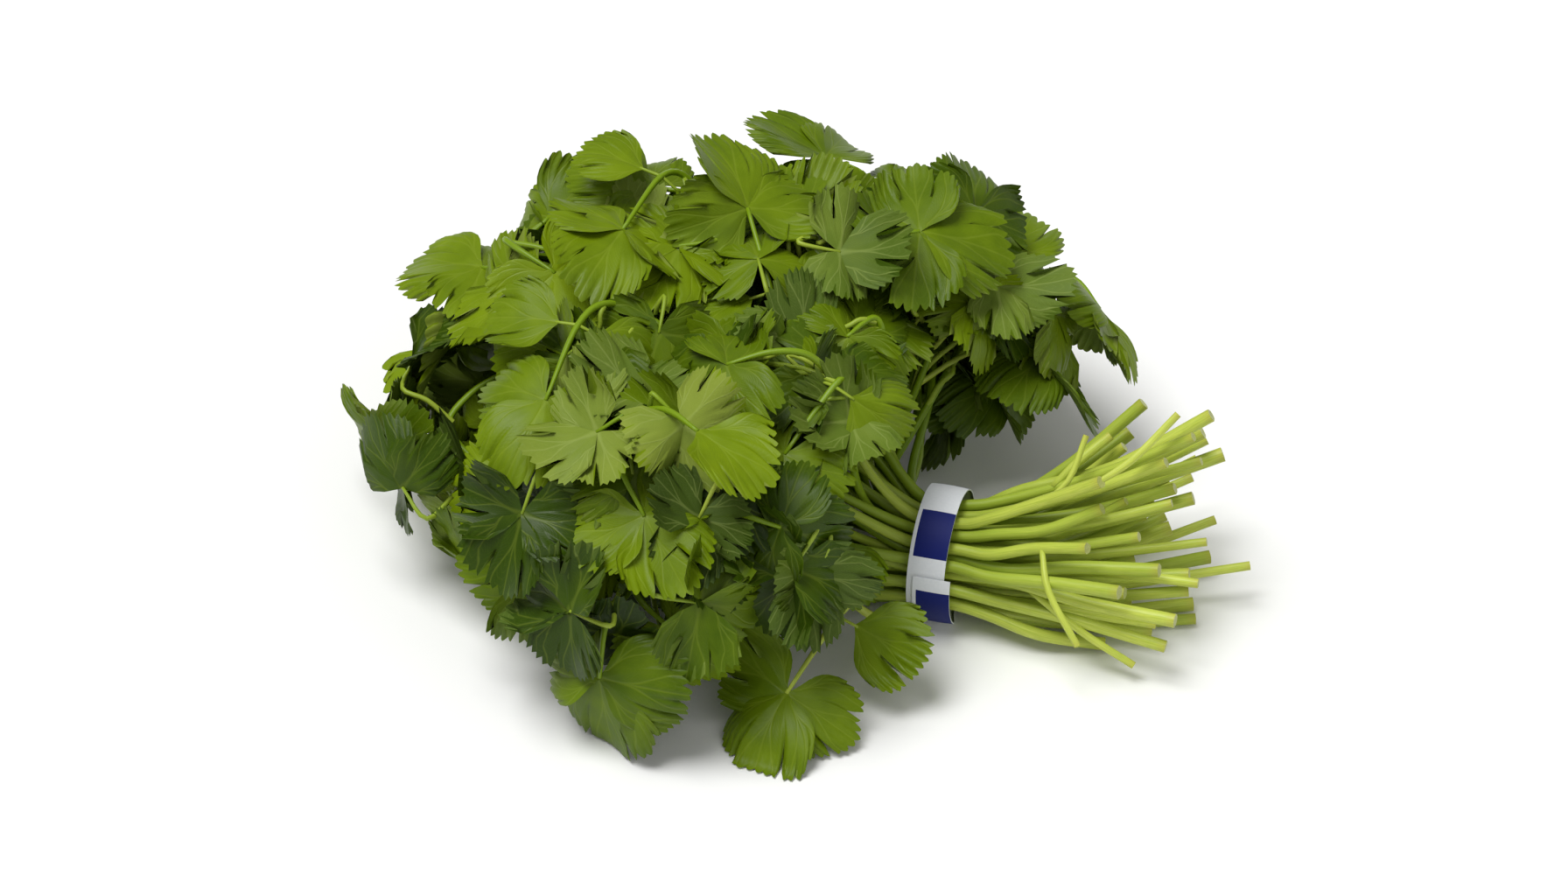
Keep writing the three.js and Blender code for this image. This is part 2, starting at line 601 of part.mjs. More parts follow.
// The blade's edge as seen from the leaflet's foot: tooth tips with notches between them, two of them deep
function bladeEdge() {
  const edge = [];
  for (let k = 0; k < 2 * TEETH - 1; k++) {
    const angle = THREE.MathUtils.degToRad(FAN_HALF_DEG * (k / (TEETH - 1) - 1));
    const lobe = LOBE_NOTCHES.includes((k - 1) / 2);
    const depth = k % 2 ? (lobe ? LOBE_DEPTH : TOOTH_DEPTH) : 0;
    const radius = Math.cos(angle) ** FAN_POWER * (1 - depth);
    edge.push([radius * Math.cos(angle), radius * Math.sin(angle)]);
  }
  return edge;
}

// A leaflet's blade: thick at its rib and thin at its toothed edge
function blade(leaflet, tip) {
  const place = (u, v, lift) => {
    const point = tip.clone().add(leaflet.base);
    point.addScaledVector(leaflet.direction, u * leaflet.size);
    point.addScaledVector(leaflet.side, v * leaflet.size);
    point.addScaledVector(leaflet.upper, bladeRise(leaflet, u, v));
    point.z = Math.max(point.z, BLADE_LOW);
    return point.addScaledVector(leaflet.upper, lift);
  };
  const edge = [[BLADE_FOOT, 0], ...bladeEdge()];
  const points = edge.map(([u, v]) => place(u, v, 0));
  const above = points.push(place(RIB_AT, 0, BLADE_THICK / 2)) - 1;
  const below = points.push(place(RIB_AT, 0, -BLADE_THICK / 2)) - 1;
  const triangles = [];
  edge.forEach((_, k) => {
    const next = (k + 1) % edge.length;
    triangles.push([above, k, next], [below, next, k]);
  });
  return closedGeometry(points, triangles);
}

// A closed mesh as a solid that can be joined with others
function solidOf(geometry) {
  const bare = geometry.clone();
  bare.deleteAttribute("normal");
  bare.deleteAttribute("uv");
  const merged = mergeVertices(bare, 1e-4);
  return new wasm.Manifold(
    new wasm.Mesh({
      numProp: 3,
      vertProperties: merged.attributes.position.array,
      triVerts: new Uint32Array(merged.index.array),
    }),
  );
}

// A solid as three.js geometry
function geometryOf(solid) {
  const mesh = solid.getMesh();
  const geometry = new THREE.BufferGeometry();
  geometry.setAttribute("position", new THREE.BufferAttribute(mesh.vertProperties, 3));
  geometry.setIndex(new THREE.BufferAttribute(mesh.triVerts, 1));
  geometry.computeVertexNormals();
  return geometry;
}

// One leafy stem as one solid: the stem with its rachis, its leaflets' short stalks and their blades
function sprayOf(spray) {
  const count = spray.stem.length;
  const held = count - ROUTE_POINTS;
  const cutRadius = spray.cutRadius ?? CUT_RADIUS;
  const radii = spray.stem.map((_, k) => {
    if (k === count - 1) return TIP_RADIUS;
    if (k < held - 1) return STEM_RADIUS + (cutRadius - STEM_RADIUS) * CUT_STATIONS[k];
    return STEM_RADIUS + (RACHIS_RADIUS - STEM_RADIUS) * clamp01((k - held) / (ROUTE_POINTS - 2));
  });
  const pieces = [solidOf(taperedTube(spray.stem, radii, STEM_SIDES))];
  for (const leaflet of spray.blades) {
    const tip = spray.stem[count - 1];
    pieces.push(solidOf(blade(leaflet, tip)));
    if (!leaflet.stalk) continue;
    const foot = tip.clone().add(leaflet.base);
    const ends = [tip.clone().add(leaflet.from), along(foot, leaflet.direction, PETIOLULE_ROOT)];
    const slimmer = PETIOLULE_RADIUS * PETIOLULE_TAPER;
    pieces.push(solidOf(taperedTube(ends, [PETIOLULE_RADIUS, slimmer], PETIOLULE_SIDES)));
  }
  return wasm.Manifold.union(pieces).simplify(SLIVER);
}

// The tie: a paper strip wound once round the stems, its outer end lapped over its inner one, with a flat
// spot where it lies on the table
function tieGeometry() {
  const points = [];
  for (let k = 0; k <= TIE_STEPS; k++) {
    const turn = (TIE_TURN_DEG * k) / TIE_STEPS;
    const angle = THREE.MathUtils.degToRad(180 - (TIE_START_DEG + turn));
    const lap = smooth((turn - TIE_LAP_FROM_DEG) / (TIE_LAP_FULL_DEG - TIE_LAP_FROM_DEG));
    const inner = TIE_INNER_RADIUS + (TIE_THICK + TIE_LAP_GAP) * lap;
    for (const [end, out] of [[-1, 0], [1, 0], [1, TIE_THICK], [-1, TIE_THICK]]) {
      const radius = inner + out;
      const x = (end * TIE_WIDTH) / 2 + TIE_SKEW * lap;
      const z = TIE_HEIGHT + radius * Math.sin(angle);
      points.push(vec(x, radius * Math.cos(angle), Math.max(z, TIE_THICK - out)));
    }
  }
  const triangles = [];
  for (let k = 0; k < TIE_STEPS; k++) {
    for (let m = 0; m < 4; m++) {
      const a = 4 * k + m;
      const b = 4 * k + ((m + 1) % 4);
      triangles.push([a, b + 4, b], [a, a + 4, b + 4]);
    }
  }
  const last = 4 * TIE_STEPS;
  triangles.push([0, 1, 2], [0, 2, 3], [last, last + 2, last + 1], [last, last + 3, last + 2]);
  return closedGeometry(points, triangles);
}

// Sprays that still cross are joined in one node. Gives the groups and their solids
function joinCrossing(solids) {
  const group = solids.map((_, k) => k);
  const boxes = solids.map((solid) => solid.boundingBox());
  const apart = (a, b) => [0, 1, 2].some((k) => a.min[k] > b.max[k] || b.min[k] > a.max[k]);
  for (let i = 0; i < solids.length; i++) {
    for (let j = i + 1; j < solids.length; j++) {
      if (apart(boxes[i], boxes[j]) || group[i] === group[j]) continue;
      if (solids[i].intersect(solids[j]).volume() > TOUCHING) {
        const gone = group[j];
        group.forEach((g, k) => {
          if (g === gone) group[k] = group[i];
        });
      }
    }
  }
  const members = new Map();
  group.forEach((g, k) => members.set(g, [...(members.get(g) ?? []), k]));
  return [...members.values()].map((list) => ({
    list,
    solid: wasm.Manifold.union(list.map((k) => solids[k])).simplify(SLIVER),
  }));
}

const bunch = new THREE.Group();
const sprays = layOut();
const groups = joinCrossing(sprays.map(sprayOf));
for (const { list, solid } of groups) {
  const numbers = list.map((k) => String(k + 1).padStart(2, "0")).join("_");
  const mesh = new THREE.Mesh(geometryOf(solid), LEAF);
  mesh.name = list.length > 1 ? `leafy_stems_${numbers}` : `leafy_stem_${numbers}`;
  bunch.add(mesh);
}
const tie = new THREE.Mesh(tieGeometry(), PAPER);
tie.name = "tie";
bunch.add(tie);

export default bunch;
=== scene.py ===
"""A fresh bunch of coriander lying on a pale table, tied with one paper strip."""

import logging
import math
from dataclasses import dataclass, field
from enum import Enum

import bpy
import numpy as np
from mathutils import Matrix, Vector


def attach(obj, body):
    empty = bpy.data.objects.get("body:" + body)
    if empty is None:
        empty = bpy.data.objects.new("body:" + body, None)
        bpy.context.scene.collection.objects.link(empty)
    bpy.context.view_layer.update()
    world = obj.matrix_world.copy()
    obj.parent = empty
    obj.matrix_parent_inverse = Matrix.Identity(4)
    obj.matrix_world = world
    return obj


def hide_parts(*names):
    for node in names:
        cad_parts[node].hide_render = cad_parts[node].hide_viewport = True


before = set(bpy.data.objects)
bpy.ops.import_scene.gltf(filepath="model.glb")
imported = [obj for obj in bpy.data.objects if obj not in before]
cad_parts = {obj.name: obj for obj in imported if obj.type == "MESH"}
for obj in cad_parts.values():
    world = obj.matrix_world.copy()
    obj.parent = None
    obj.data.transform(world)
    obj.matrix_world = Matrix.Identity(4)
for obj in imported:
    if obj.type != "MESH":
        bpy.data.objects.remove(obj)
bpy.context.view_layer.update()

log = logging.getLogger("coriander")

Array = np.ndarray
MM = 0.001

# The bunch is arranged to be seen from this side: turned from the front, and above the table
VIEW_AZIMUTH = math.radians(15)
VIEW_ELEVATION = math.radians(40)
ACROSS = np.array([math.cos(VIEW_AZIMUTH), math.sin(VIEW_AZIMUTH), 0.0])
TOWARDS = np.array(
    [
        math.sin(VIEW_AZIMUTH) * math.cos(VIEW_ELEVATION),
        -math.cos(VIEW_AZIMUTH) * math.cos(VIEW_ELEVATION),
        math.sin(VIEW_ELEVATION),
    ]
)
UP = np.cross(TOWARDS, ACROSS)
UPWARD = np.array([0.0, 0.0, 1.0])

# Lengths in millimetres. Those that place and clear the stems are the same as the solids'
TIE_WIDTH = 12.0
TIE_THICK = 0.7
TIE_INNER_RADIUS = 20.6
TIE_LAP_GAP = 0.3
TIE_FLAT_HALF = 7.0
TIE_SKEW = 2.2
TIE_START_DEG = -38.0
TIE_TURN_DEG = 415.0
TIE_LAP_FROM_DEG = 318.0
TIE_LAP_FULL_DEG = 352.0
TIE_EDGE = 8.0
TIE_OUTER_RADIUS = TIE_INNER_RADIUS + TIE_THICK
TIE_HEIGHT = math.sqrt(TIE_OUTER_RADIUS**2 - TIE_FLAT_HALF**2)

PACK_RADIUS = 17.4
STEM_RADIUS = 1.8
CUT_RADIUS = 2.5
RACHIS_RADIUS = 1.25
TIP_RADIUS = 0.95
CUT_REACH = 73.0
CUT_REACH_SPREAD = 22.0
CUT_REACH_MORE = 13.0
CUT_FAN = 1.35
CUT_FAN_POWER = 1.4
CUT_SHIFT_BACK = 14.0
CUT_SHIFT_UP = 14.0
CUT_SHIFT_POWER = 1.5
CUT_PILING = 0.12
CUT_SWIRL_DEG = 24.0
CUT_STRAY = 3.5
CUT_BEND = 1.1
CUT_SLIMMING = (0.5, 0.92)
CUT_STATIONS = (1.0, 0.6, 0.25)
# One thin stem, counted from 0, stands out beyond the others
LONG_STEM = 19
LONG_MORE = 18.0
LONG_RADIUS = 1.4

# A leaf's own stalk as a share of its size, with five leaflets and with fewer, and its leaflets' stalks
FULL_LEAF = 5
RACHIS = 0.95
SHORT_RACHIS = 0.5
PETIOLULE = 6.5
PETIOLULE_RADII = np.array([0.6, 0.45])
LOWER_STALK_RADII = np.array([0.95, 0.85, 0.8, 0.5])
BLADE_LOWEST = 0.78
STEM_LOWEST = 0.25
FOOT_LOWEST = 3.0

# A leaf's upper side looks out of the rounded head and, by its face, to the view, with a stray and a lift
HEAD_CENTRE = np.array([-85.0, 0.0, 54.0])
HEAD_HALF = np.array([112.0, 110.0, 54.0])
FACE_TRADE = 0.5
FACE_STRAY = 0.35
FACE_LIFT = 0.15
LEAN_BACK = 0.6
GOLDEN_TURN = 2.399963

# Sprays on the side away from that view: how many, the sector round the head and the stretch along it
HIDDEN_SPRAYS = 7
HIDDEN_FROM_DEG = -112
HIDDEN_SECTOR_DEG = 140
HIDDEN_STEP = 0.618
HIDDEN_FIRST = 0.35
HIDDEN_FROM_X = -175
HIDDEN_ALONG = 130
HIDDEN_NARROWING = 1.1
HIDDEN_DEPTH = 0.86
HIDDEN_LOWEST = 6.0
HIDDEN_OUT = (-0.5, 0.9, -0.1)
HIDDEN_SIZE = (26, 31)
HIDDEN_LEAFLETS = 3

# Leaflets: the turn and share of the side ones and the lower ones, and how much each differs from the next
SIDE_LEAFLET = (94, 0.86)
LOWER_LEAFLET = (92, 0.82)
LEAFLET_TURN = (-8, 8)
LEAFLET_SAG = (-0.42, 0.12)
LEAFLET_ROLL = (-0.45, 0.45)
LEAFLET_SIZE = (0.94, 1.06)
LEAFLET_DROOP = (0.02, 0.3)
LEAFLET_CUP = (-0.35, 0.5)
LEAFLET_PHASE = (0, 6.28)
RIPPLE = 0.05
RIPPLES = 5
RIPPLE_FOOT = 0.05

# A stem's way from the tie: how it sets out, and how straight it leaves the tie and meets its leaf
SET_OUT_SPREAD = 0.5
SET_OUT_RISE = 0.12
SET_OUT_SHARE = 0.42
SET_OUT_LEAST = 34.0
SET_OUT_MOST = 70.0
ARRIVAL_SHARE = 0.3
ARRIVAL_MOST = 40.0

# Tones: painted shade deepens a leaf's green beside the tie and inside the head, where shade falls among
# the leaves, and a leaflet's tone is mostly its leaf's
BESIDE_PAINTED_SHADE = 0.55
BESIDE_FROM = -75.0
BESIDE_RAMP = 60.0
LOWER_PAINTED_SHADE = 1.0
LOWER_SPREAD = 0.5
SHADED_TO = 0.66
LIT_FROM = 1.0
LEAF_SHARE = 0.75
SHOOT_TONE = 0.5

# A stem's map counts its length in steps of this many millimetres, and a leaf's stalk starts further on
MAP_STEP = 100.0
LEAF_STALK_FROM = 90.0
# A stem's rings are turned from about this crosswise direction
CARRIED_FROM = np.array([0.0, 0.31, 0.95])

# Clearing: how far apart blades and stems are pushed, and how quickly
ROUTE_POINTS = 8
BLADE_CLEARANCE = 4.6
STEM_CLEARANCE = 2.3
STEM_CLEARANCE_AT_TIE = 1.8
CUT_CLEARANCE = 2.9
CORE_CLEARANCE = 11.0
CORE_ROUNDS = 90
CLEARING_ROUNDS = 180
STEM_PUSH = 0.5
BLADE_PUSH = 0.25
HOMING = 0.03
HELD_POINTS = 2
MOST_MOVE = 1.5
OWN_BEND = 0.6
NEXT_BEND = 0.2
FOLLOW_POWER = 1.5
FLOOR_ROOM = 2.7
NEAR_SLACK = 1e-3
TINY = 1e-6
BLADE_CORES = ((0.5, 0.0),)
BLADE_SPOTS = (
    (0.22, 0.0),
    (0.5, 0.0),
    (0.85, 0.0),
    (0.36, 0.34),
    (0.36, -0.34),
    (0.62, 0.42),
    (0.62, -0.42),
    (0.72, 0.2),
    (0.72, -0.2),
)

# Blade outline, as a fan seen from the leaflet's foot
BLADE_MIDDLE = 0.55
TEETH = 9
LOBE_NOTCHES = (2, 5)
LOBE_TEETH = 3
FAN_HALF = math.radians(47)
FAN_POWER = 0.72


@dataclass(frozen=True)
class SprayPlan:
    """Where one leaf is: millimetres across and up from the tie as seen, and height over the table.

    points is the way that the leaf points as seen, in degrees, with 0 to the right and 90 up. size is the
    middle leaflet's length, and leaflets how many there are. face leans the leaf to the view, cup folds its
    blade along the rib, and ease below 1 lets it give way less to its neighbours.
    """

    across: float
    up: float
    height: float
    points: float
    size: float
    leaflets: int
    face: float = 0.35
    cup: float | None = None
    ease: float = 1.0


SPRAYS = (
    SprayPlan(-69, 105, 106, 98, 31, 5),
    SprayPlan(-34, 126, 96, 150, 31, 3, face=0.9),
    SprayPlan(-8, 119, 90, 18, 25, 3),
    SprayPlan(6, 104, 90, 78, 29, 3),
    SprayPlan(-13, 96, 98, 4, 33, 3, face=0.9),
    SprayPlan(24, 88, 68, 62, 27, 3),
    SprayPlan(45, 74, 50, 14, 28, 3),
    SprayPlan(31, 70, 58, -18, 32, 5),
    SprayPlan(20, 58, 38, -32, 27, 3, face=0.8),
    SprayPlan(3, 54, 28, -86, 28, 3),
    SprayPlan(-21, 82, 88, -105, 28, 3),
    SprayPlan(-48, 104, 96, 80, 28, 3),
    SprayPlan(-139, 89, 82, 150, 32, 5),
    SprayPlan(-118, 106, 88, 66, 25, 3),
    SprayPlan(-96, 109, 94, 165, 28, 3),
    SprayPlan(-114, 88, 98, -42, 31, 3),
    SprayPlan(-92, 91, 102, -118, 30, 5),
    SprayPlan(-147, 66, 56, 138, 33, 1, cup=1.1),
    SprayPlan(-139, 64, 70, 22, 30, 3),
    SprayPlan(-149, 54, 40, 177, 22, 3, face=-0.4),
    SprayPlan(-178, 35, 34, 207, 25, 3),
    SprayPlan(-157, 41, 34, -70, 22, 1),
    SprayPlan(-141, 44, 52, -152, 28, 3),
    SprayPlan(-146, 8, 28, 188, 28, 3),
    SprayPlan(-121, 45, 92, -105, 30, 5),
    SprayPlan(-98, 61, 96, -88, 25, 3),
    SprayPlan(-132, 18, 60, -160, 28, 3),
    SprayPlan(-125, -12, 42, -96, 32, 3, face=0.7),
    SprayPlan(-107, 9, 70, -108, 30, 3),
    SprayPlan(-104, -42, 22, -104, 34, 3, face=0.7, ease=0.4),
    SprayPlan(-92, 12, 78, -64, 31, 3, face=0.6),
    SprayPlan(-88, -20, 40, -52, 27, 3),
    SprayPlan(-66, -13, 46, -100, 27, 3),
    SprayPlan(-71, 56, 102, 196, 28, 3),
    SprayPlan(-76, 38, 106, -52, 28, 1, cup=0.8),
    SprayPlan(-38, 62, 88, -140, 23, 3),
    SprayPlan(-49, 8, 72, -18, 26, 3),
    SprayPlan(-37, 1, 49, -70, 25, 1, cup=0.9),
    SprayPlan(-51, 31, 84, -122, 28, 5),
    SprayPlan(-32, 78, 66, -98, 28, 3),
    SprayPlan(-16, 46, 34, -62, 26, 3),
)
LOOSE_SPRIG = SprayPlan(-50, -43, 14, -118, 32, 5, ease=0.3)
LOOSE_SPRIG_CUT = (-8.0, -25.5, 2.6)
LOOSE_SPRIG_FACE = np.array([0.05, -0.42, 0.9])


def unit(vector: Array) -> Array:
    """The vector or vectors at length one: each is divided by its own length."""
    return vector / np.linalg.norm(vector, axis=-1, keepdims=True)


def smooth(t: Array | float) -> Array | float:
    """An even ramp from 0 to 1: the square of t times three less twice t, with t kept between 0 and 1."""
    s = np.clip(t, 0.0, 1.0)
    return s * s * (3 - 2 * s)


def draw(seed: float) -> float:
    """A repeatable draw between 0 and 1: what is left over of a large sine of the number.

    What is added to a number before a draw only keeps one kind of draw apart from the next.

    Args:
        seed: The number drawn for.

    Returns:
        The same value each time for the same number.
    """
    x = math.sin(seed * 12.9898 + 4.1414) * 4375.8545
    return x - math.floor(x)


def between(seed: float, low: float, high: float) -> float:
    """A repeatable draw between low and high."""
    return low + (high - low) * draw(seed)


def turned(vector: Array, axis: Array, angle: float) -> Array:
    """The vector turned about a unit axis by an angle in radians, by Rodrigues' formula.

    Args:
        vector: The vector to turn.
        axis: The unit axis.
        angle: The angle in radians.

    Returns:
        The turned vector.
    """
    c, s = math.cos(angle), math.sin(angle)
    return vector * c + np.cross(axis, vector) * s + axis * (axis @ vector) * (1 - c)


def seen_at(across: float, up: float, height: float) -> Array:
    """The point at a height over the table that is seen across and up from the tie's middle.

    Args:
        across: Millimetres to the right, as seen.
        up: Millimetres up, as seen.
        height: Millimetres above the table.

    Returns:
        The point in millimetres.
    """
    c, s = math.cos(VIEW_AZIMUTH), math.sin(VIEW_AZIMUTH)
    back = (up - (height - TIE_HEIGHT) * math.cos(VIEW_ELEVATION)) / math.sin(VIEW_ELEVATION)
    return np.array([across * c - back * s, across * s + back * c, height])


def outward_at(point: Array) -> Array:
    """The way out of the leafy head at a point, square to the rounded outside through it."""
    return unit((point - HEAD_CENTRE) / HEAD_HALF**2)


def depth_at(point: Array) -> float:
    """Where a point is between the head's middle, 0, and its rounded outside, 1."""
    return float(np.linalg.norm((point - HEAD_CENTRE) / HEAD_HALF))


def fan_angle(place: Array) -> Array:
    """The angle between the rib and a place along the edge, counted in teeth: even steps over the fan."""
    return FAN_HALF * (2 * place / (TEETH - 1) - 1)


@dataclass
class Leaflet:
    """One leaflet: its foot and its three directions, its length and how it bends."""

    base: Array
    root: Array
    stalk: float
    direction: Array
    upper: Array
    side: Array
    size: float
    droop: float
    cup: float
    phase: float
    seed: int

    def rise(self, u: Array | float, v: Array | float) -> Array | float:
        """How far the blade stands over its plane: it droops by u squared, cups by v squared and ripples.

        Args:
            u: Along the leaflet, as a share of its length.
            v: Across it, as a share of its length.

        Returns:
            The rise in millimetres.
        """
        turn = np.arctan2(v, u + RIPPLE_FOOT)
        ripple = RIPPLE * np.sin(RIPPLES * turn + self.phase) * (u * u + v * v)
        return self.size * (-self.droop * u * u + self.cup * v * v + ripple)

    def step(self, u: float, v: float) -> Array:
        """The step from the spray's tip to the point of the blade at u and v."""
        flat = self.base + self.direction * (u * self.size) + self.side * (v * self.size)
        return flat + self.upper * self.rise(u, v)


@dataclass
class Spray:
    """One leafy stem: the place and pose of its leaf, its leaflets, and the points of its stem."""

    spot: Array
    direction: Array
    normal: Array
    size: float
    count: int
    cup: float | None = None
    ease: float = 1.0
    cut: Array | None = None
    slot: tuple[float, float] = (0.0, 0.0)
    foot: Array = field(default_factory=lambda: np.zeros(3))
    blades: list[Leaflet] = field(default_factory=list)
    stem: Array = field(default_factory=lambda: np.zeros((0, 3)))
    lower: list["Spray"] = field(default_factory=list)

    @property
    def held(self) -> int:
        """The index of the stem point at the tie's leafy edge, or 0 for a stem that isn't tied."""
        return len(self.stem) - ROUTE_POINTS

    def set_leaf(self, index: int) -> None:
        """Places the leaf's foot and its leaflets.

        Args:
            index: The spray's number in the bunch, which its draws depend on.
        """
        rachis = self.size * (RACHIS if self.count == FULL_LEAF else SHORT_RACHIS)
        self.foot = self.spot - self.direction * rachis
        self.foot[2] = max(self.foot[2], FOOT_LOWEST)
        here, foot = np.zeros(3), self.direction * -rachis
        side_turn, side_share = SIDE_LEAFLET
        lower_turn, lower_share = LOWER_LEAFLET
        places = (
            (0, here, 1.0, 0.0),
            (side_turn, here, side_share, 0.0),
            (-side_turn, here, side_share, 0.0),
            (lower_turn, foot, lower_share, PETIOLULE),
            (-lower_turn, foot, lower_share, PETIOLULE),
        )
        for k, (turn, root, share, stalk) in enumerate(places[: self.count]):
            seed = index * 31 + k * 5 + 11
            angle = math.radians(turn + between(seed, *LEAFLET_TURN))
            flat = turned(self.direction, self.normal, angle)
            self.blades.append(self.leaflet(flat, root, share, stalk, seed))

    def leaflet(self, flat: Array, root: Array, share: float, stalk: float, seed: int) -> Leaflet:
        """One leaflet that leaves the leaf in a given direction.

        Args:
            flat: Its direction in the plane of the leaf.
            root: Where its stalk starts, from the spray's tip.
            share: Its length as a share of the middle leaflet's.
            stalk: Its stalk's length.
            seed: The number that its draws depend on.

        Returns:
            The leaflet.
        """
        direction = unit(flat + self.normal * between(seed + 1, *LEAFLET_SAG))
        side = unit(np.cross(self.normal, direction))
        upper = turned(np.cross(direction, side), direction, between(seed + 2, *LEAFLET_ROLL))
        return Leaflet(
            base=root + direction * stalk,
            root=root,
            stalk=stalk,
            direction=direction,
            upper=upper,
            side=np.cross(upper, direction),
            size=self.size * share * between(seed + 3, *LEAFLET_SIZE),
            droop=between(seed + 4, *LEAFLET_DROOP),
            cup=self.cup if self.cup is not None else between(seed + 5, *LEAFLET_CUP),
            phase=between(seed + 6, *LEAFLET_PHASE),
            seed=seed,
        )

    def route(self) -> Array:
        """The stem from the tie, or from its own cut end, to the leaf.

        It is a Bezier curve that leaves the tie along the bunch and comes to the leaf along the leaf.

        Returns:
            The route's points, the last being the spray's tip.
        """
        y, z = self.slot
        start = np.array([-TIE_EDGE, y, TIE_HEIGHT + z]) if self.cut is None else self.cut
        reach = float(np.linalg.norm(self.foot - start))
        aside, rise = SET_OUT_SPREAD * y / PACK_RADIUS, SET_OUT_SPREAD * z / PACK_RADIUS
        out = np.array([-1, aside, rise + SET_OUT_RISE])
        if self.cut is not None:
            out = self.foot - start
        first = start + unit(out) * min(SET_OUT_MOST, max(SET_OUT_LEAST, SET_OUT_SHARE * reach))
        last = self.foot - self.direction * min(ARRIVAL_MOST, ARRIVAL_SHARE * reach)
        t = np.linspace(0, 1, ROUTE_POINTS - 1)[:, None]
        curve = (1 - t) ** 3 * start + 3 * (1 - t) ** 2 * t * first
        curve = curve + 3 * (1 - t) * t**2 * last + t**3 * self.foot
        return np.vstack([curve, self.spot])

    def cut_side(self, index: int) -> Array:
        """The stem beyond the tie: it fans out, turns a little round the bunch and strays by itself.

        Args:
            index: The spray's number in the bunch.

        Returns:
            The points from the cut end to the tie's near edge.
        """
        y, z = self.slot
        reach = CUT_REACH + between(index + 500, -CUT_REACH_SPREAD, CUT_REACH_MORE)
        points = []
        for share in CUT_STATIONS:
            turn = math.radians(CUT_SWIRL_DEG) * share
            fan = 1 + CUT_FAN * share**CUT_FAN_POWER
            stray = CUT_STRAY * share**2
            side = fan * (y * math.cos(turn) - z * math.sin(turn)) + between(index + 600, -stray, stray)
            rise = fan * (y * math.sin(turn) + z * math.cos(turn)) + between(index + 700, -stray, stray)
            shift = share**CUT_SHIFT_POWER
            height = TIE_HEIGHT + rise + CUT_SHIFT_UP * shift
            low = CUT_CLEARANCE + CUT_PILING * max(0.0, height)
            x = TIE_EDGE + (reach - TIE_EDGE) * share
            points.append([x, side + CUT_SHIFT_BACK * shift, max(height, low)])
        return np.array(points + [[TIE_EDGE, y, TIE_HEIGHT + z]])


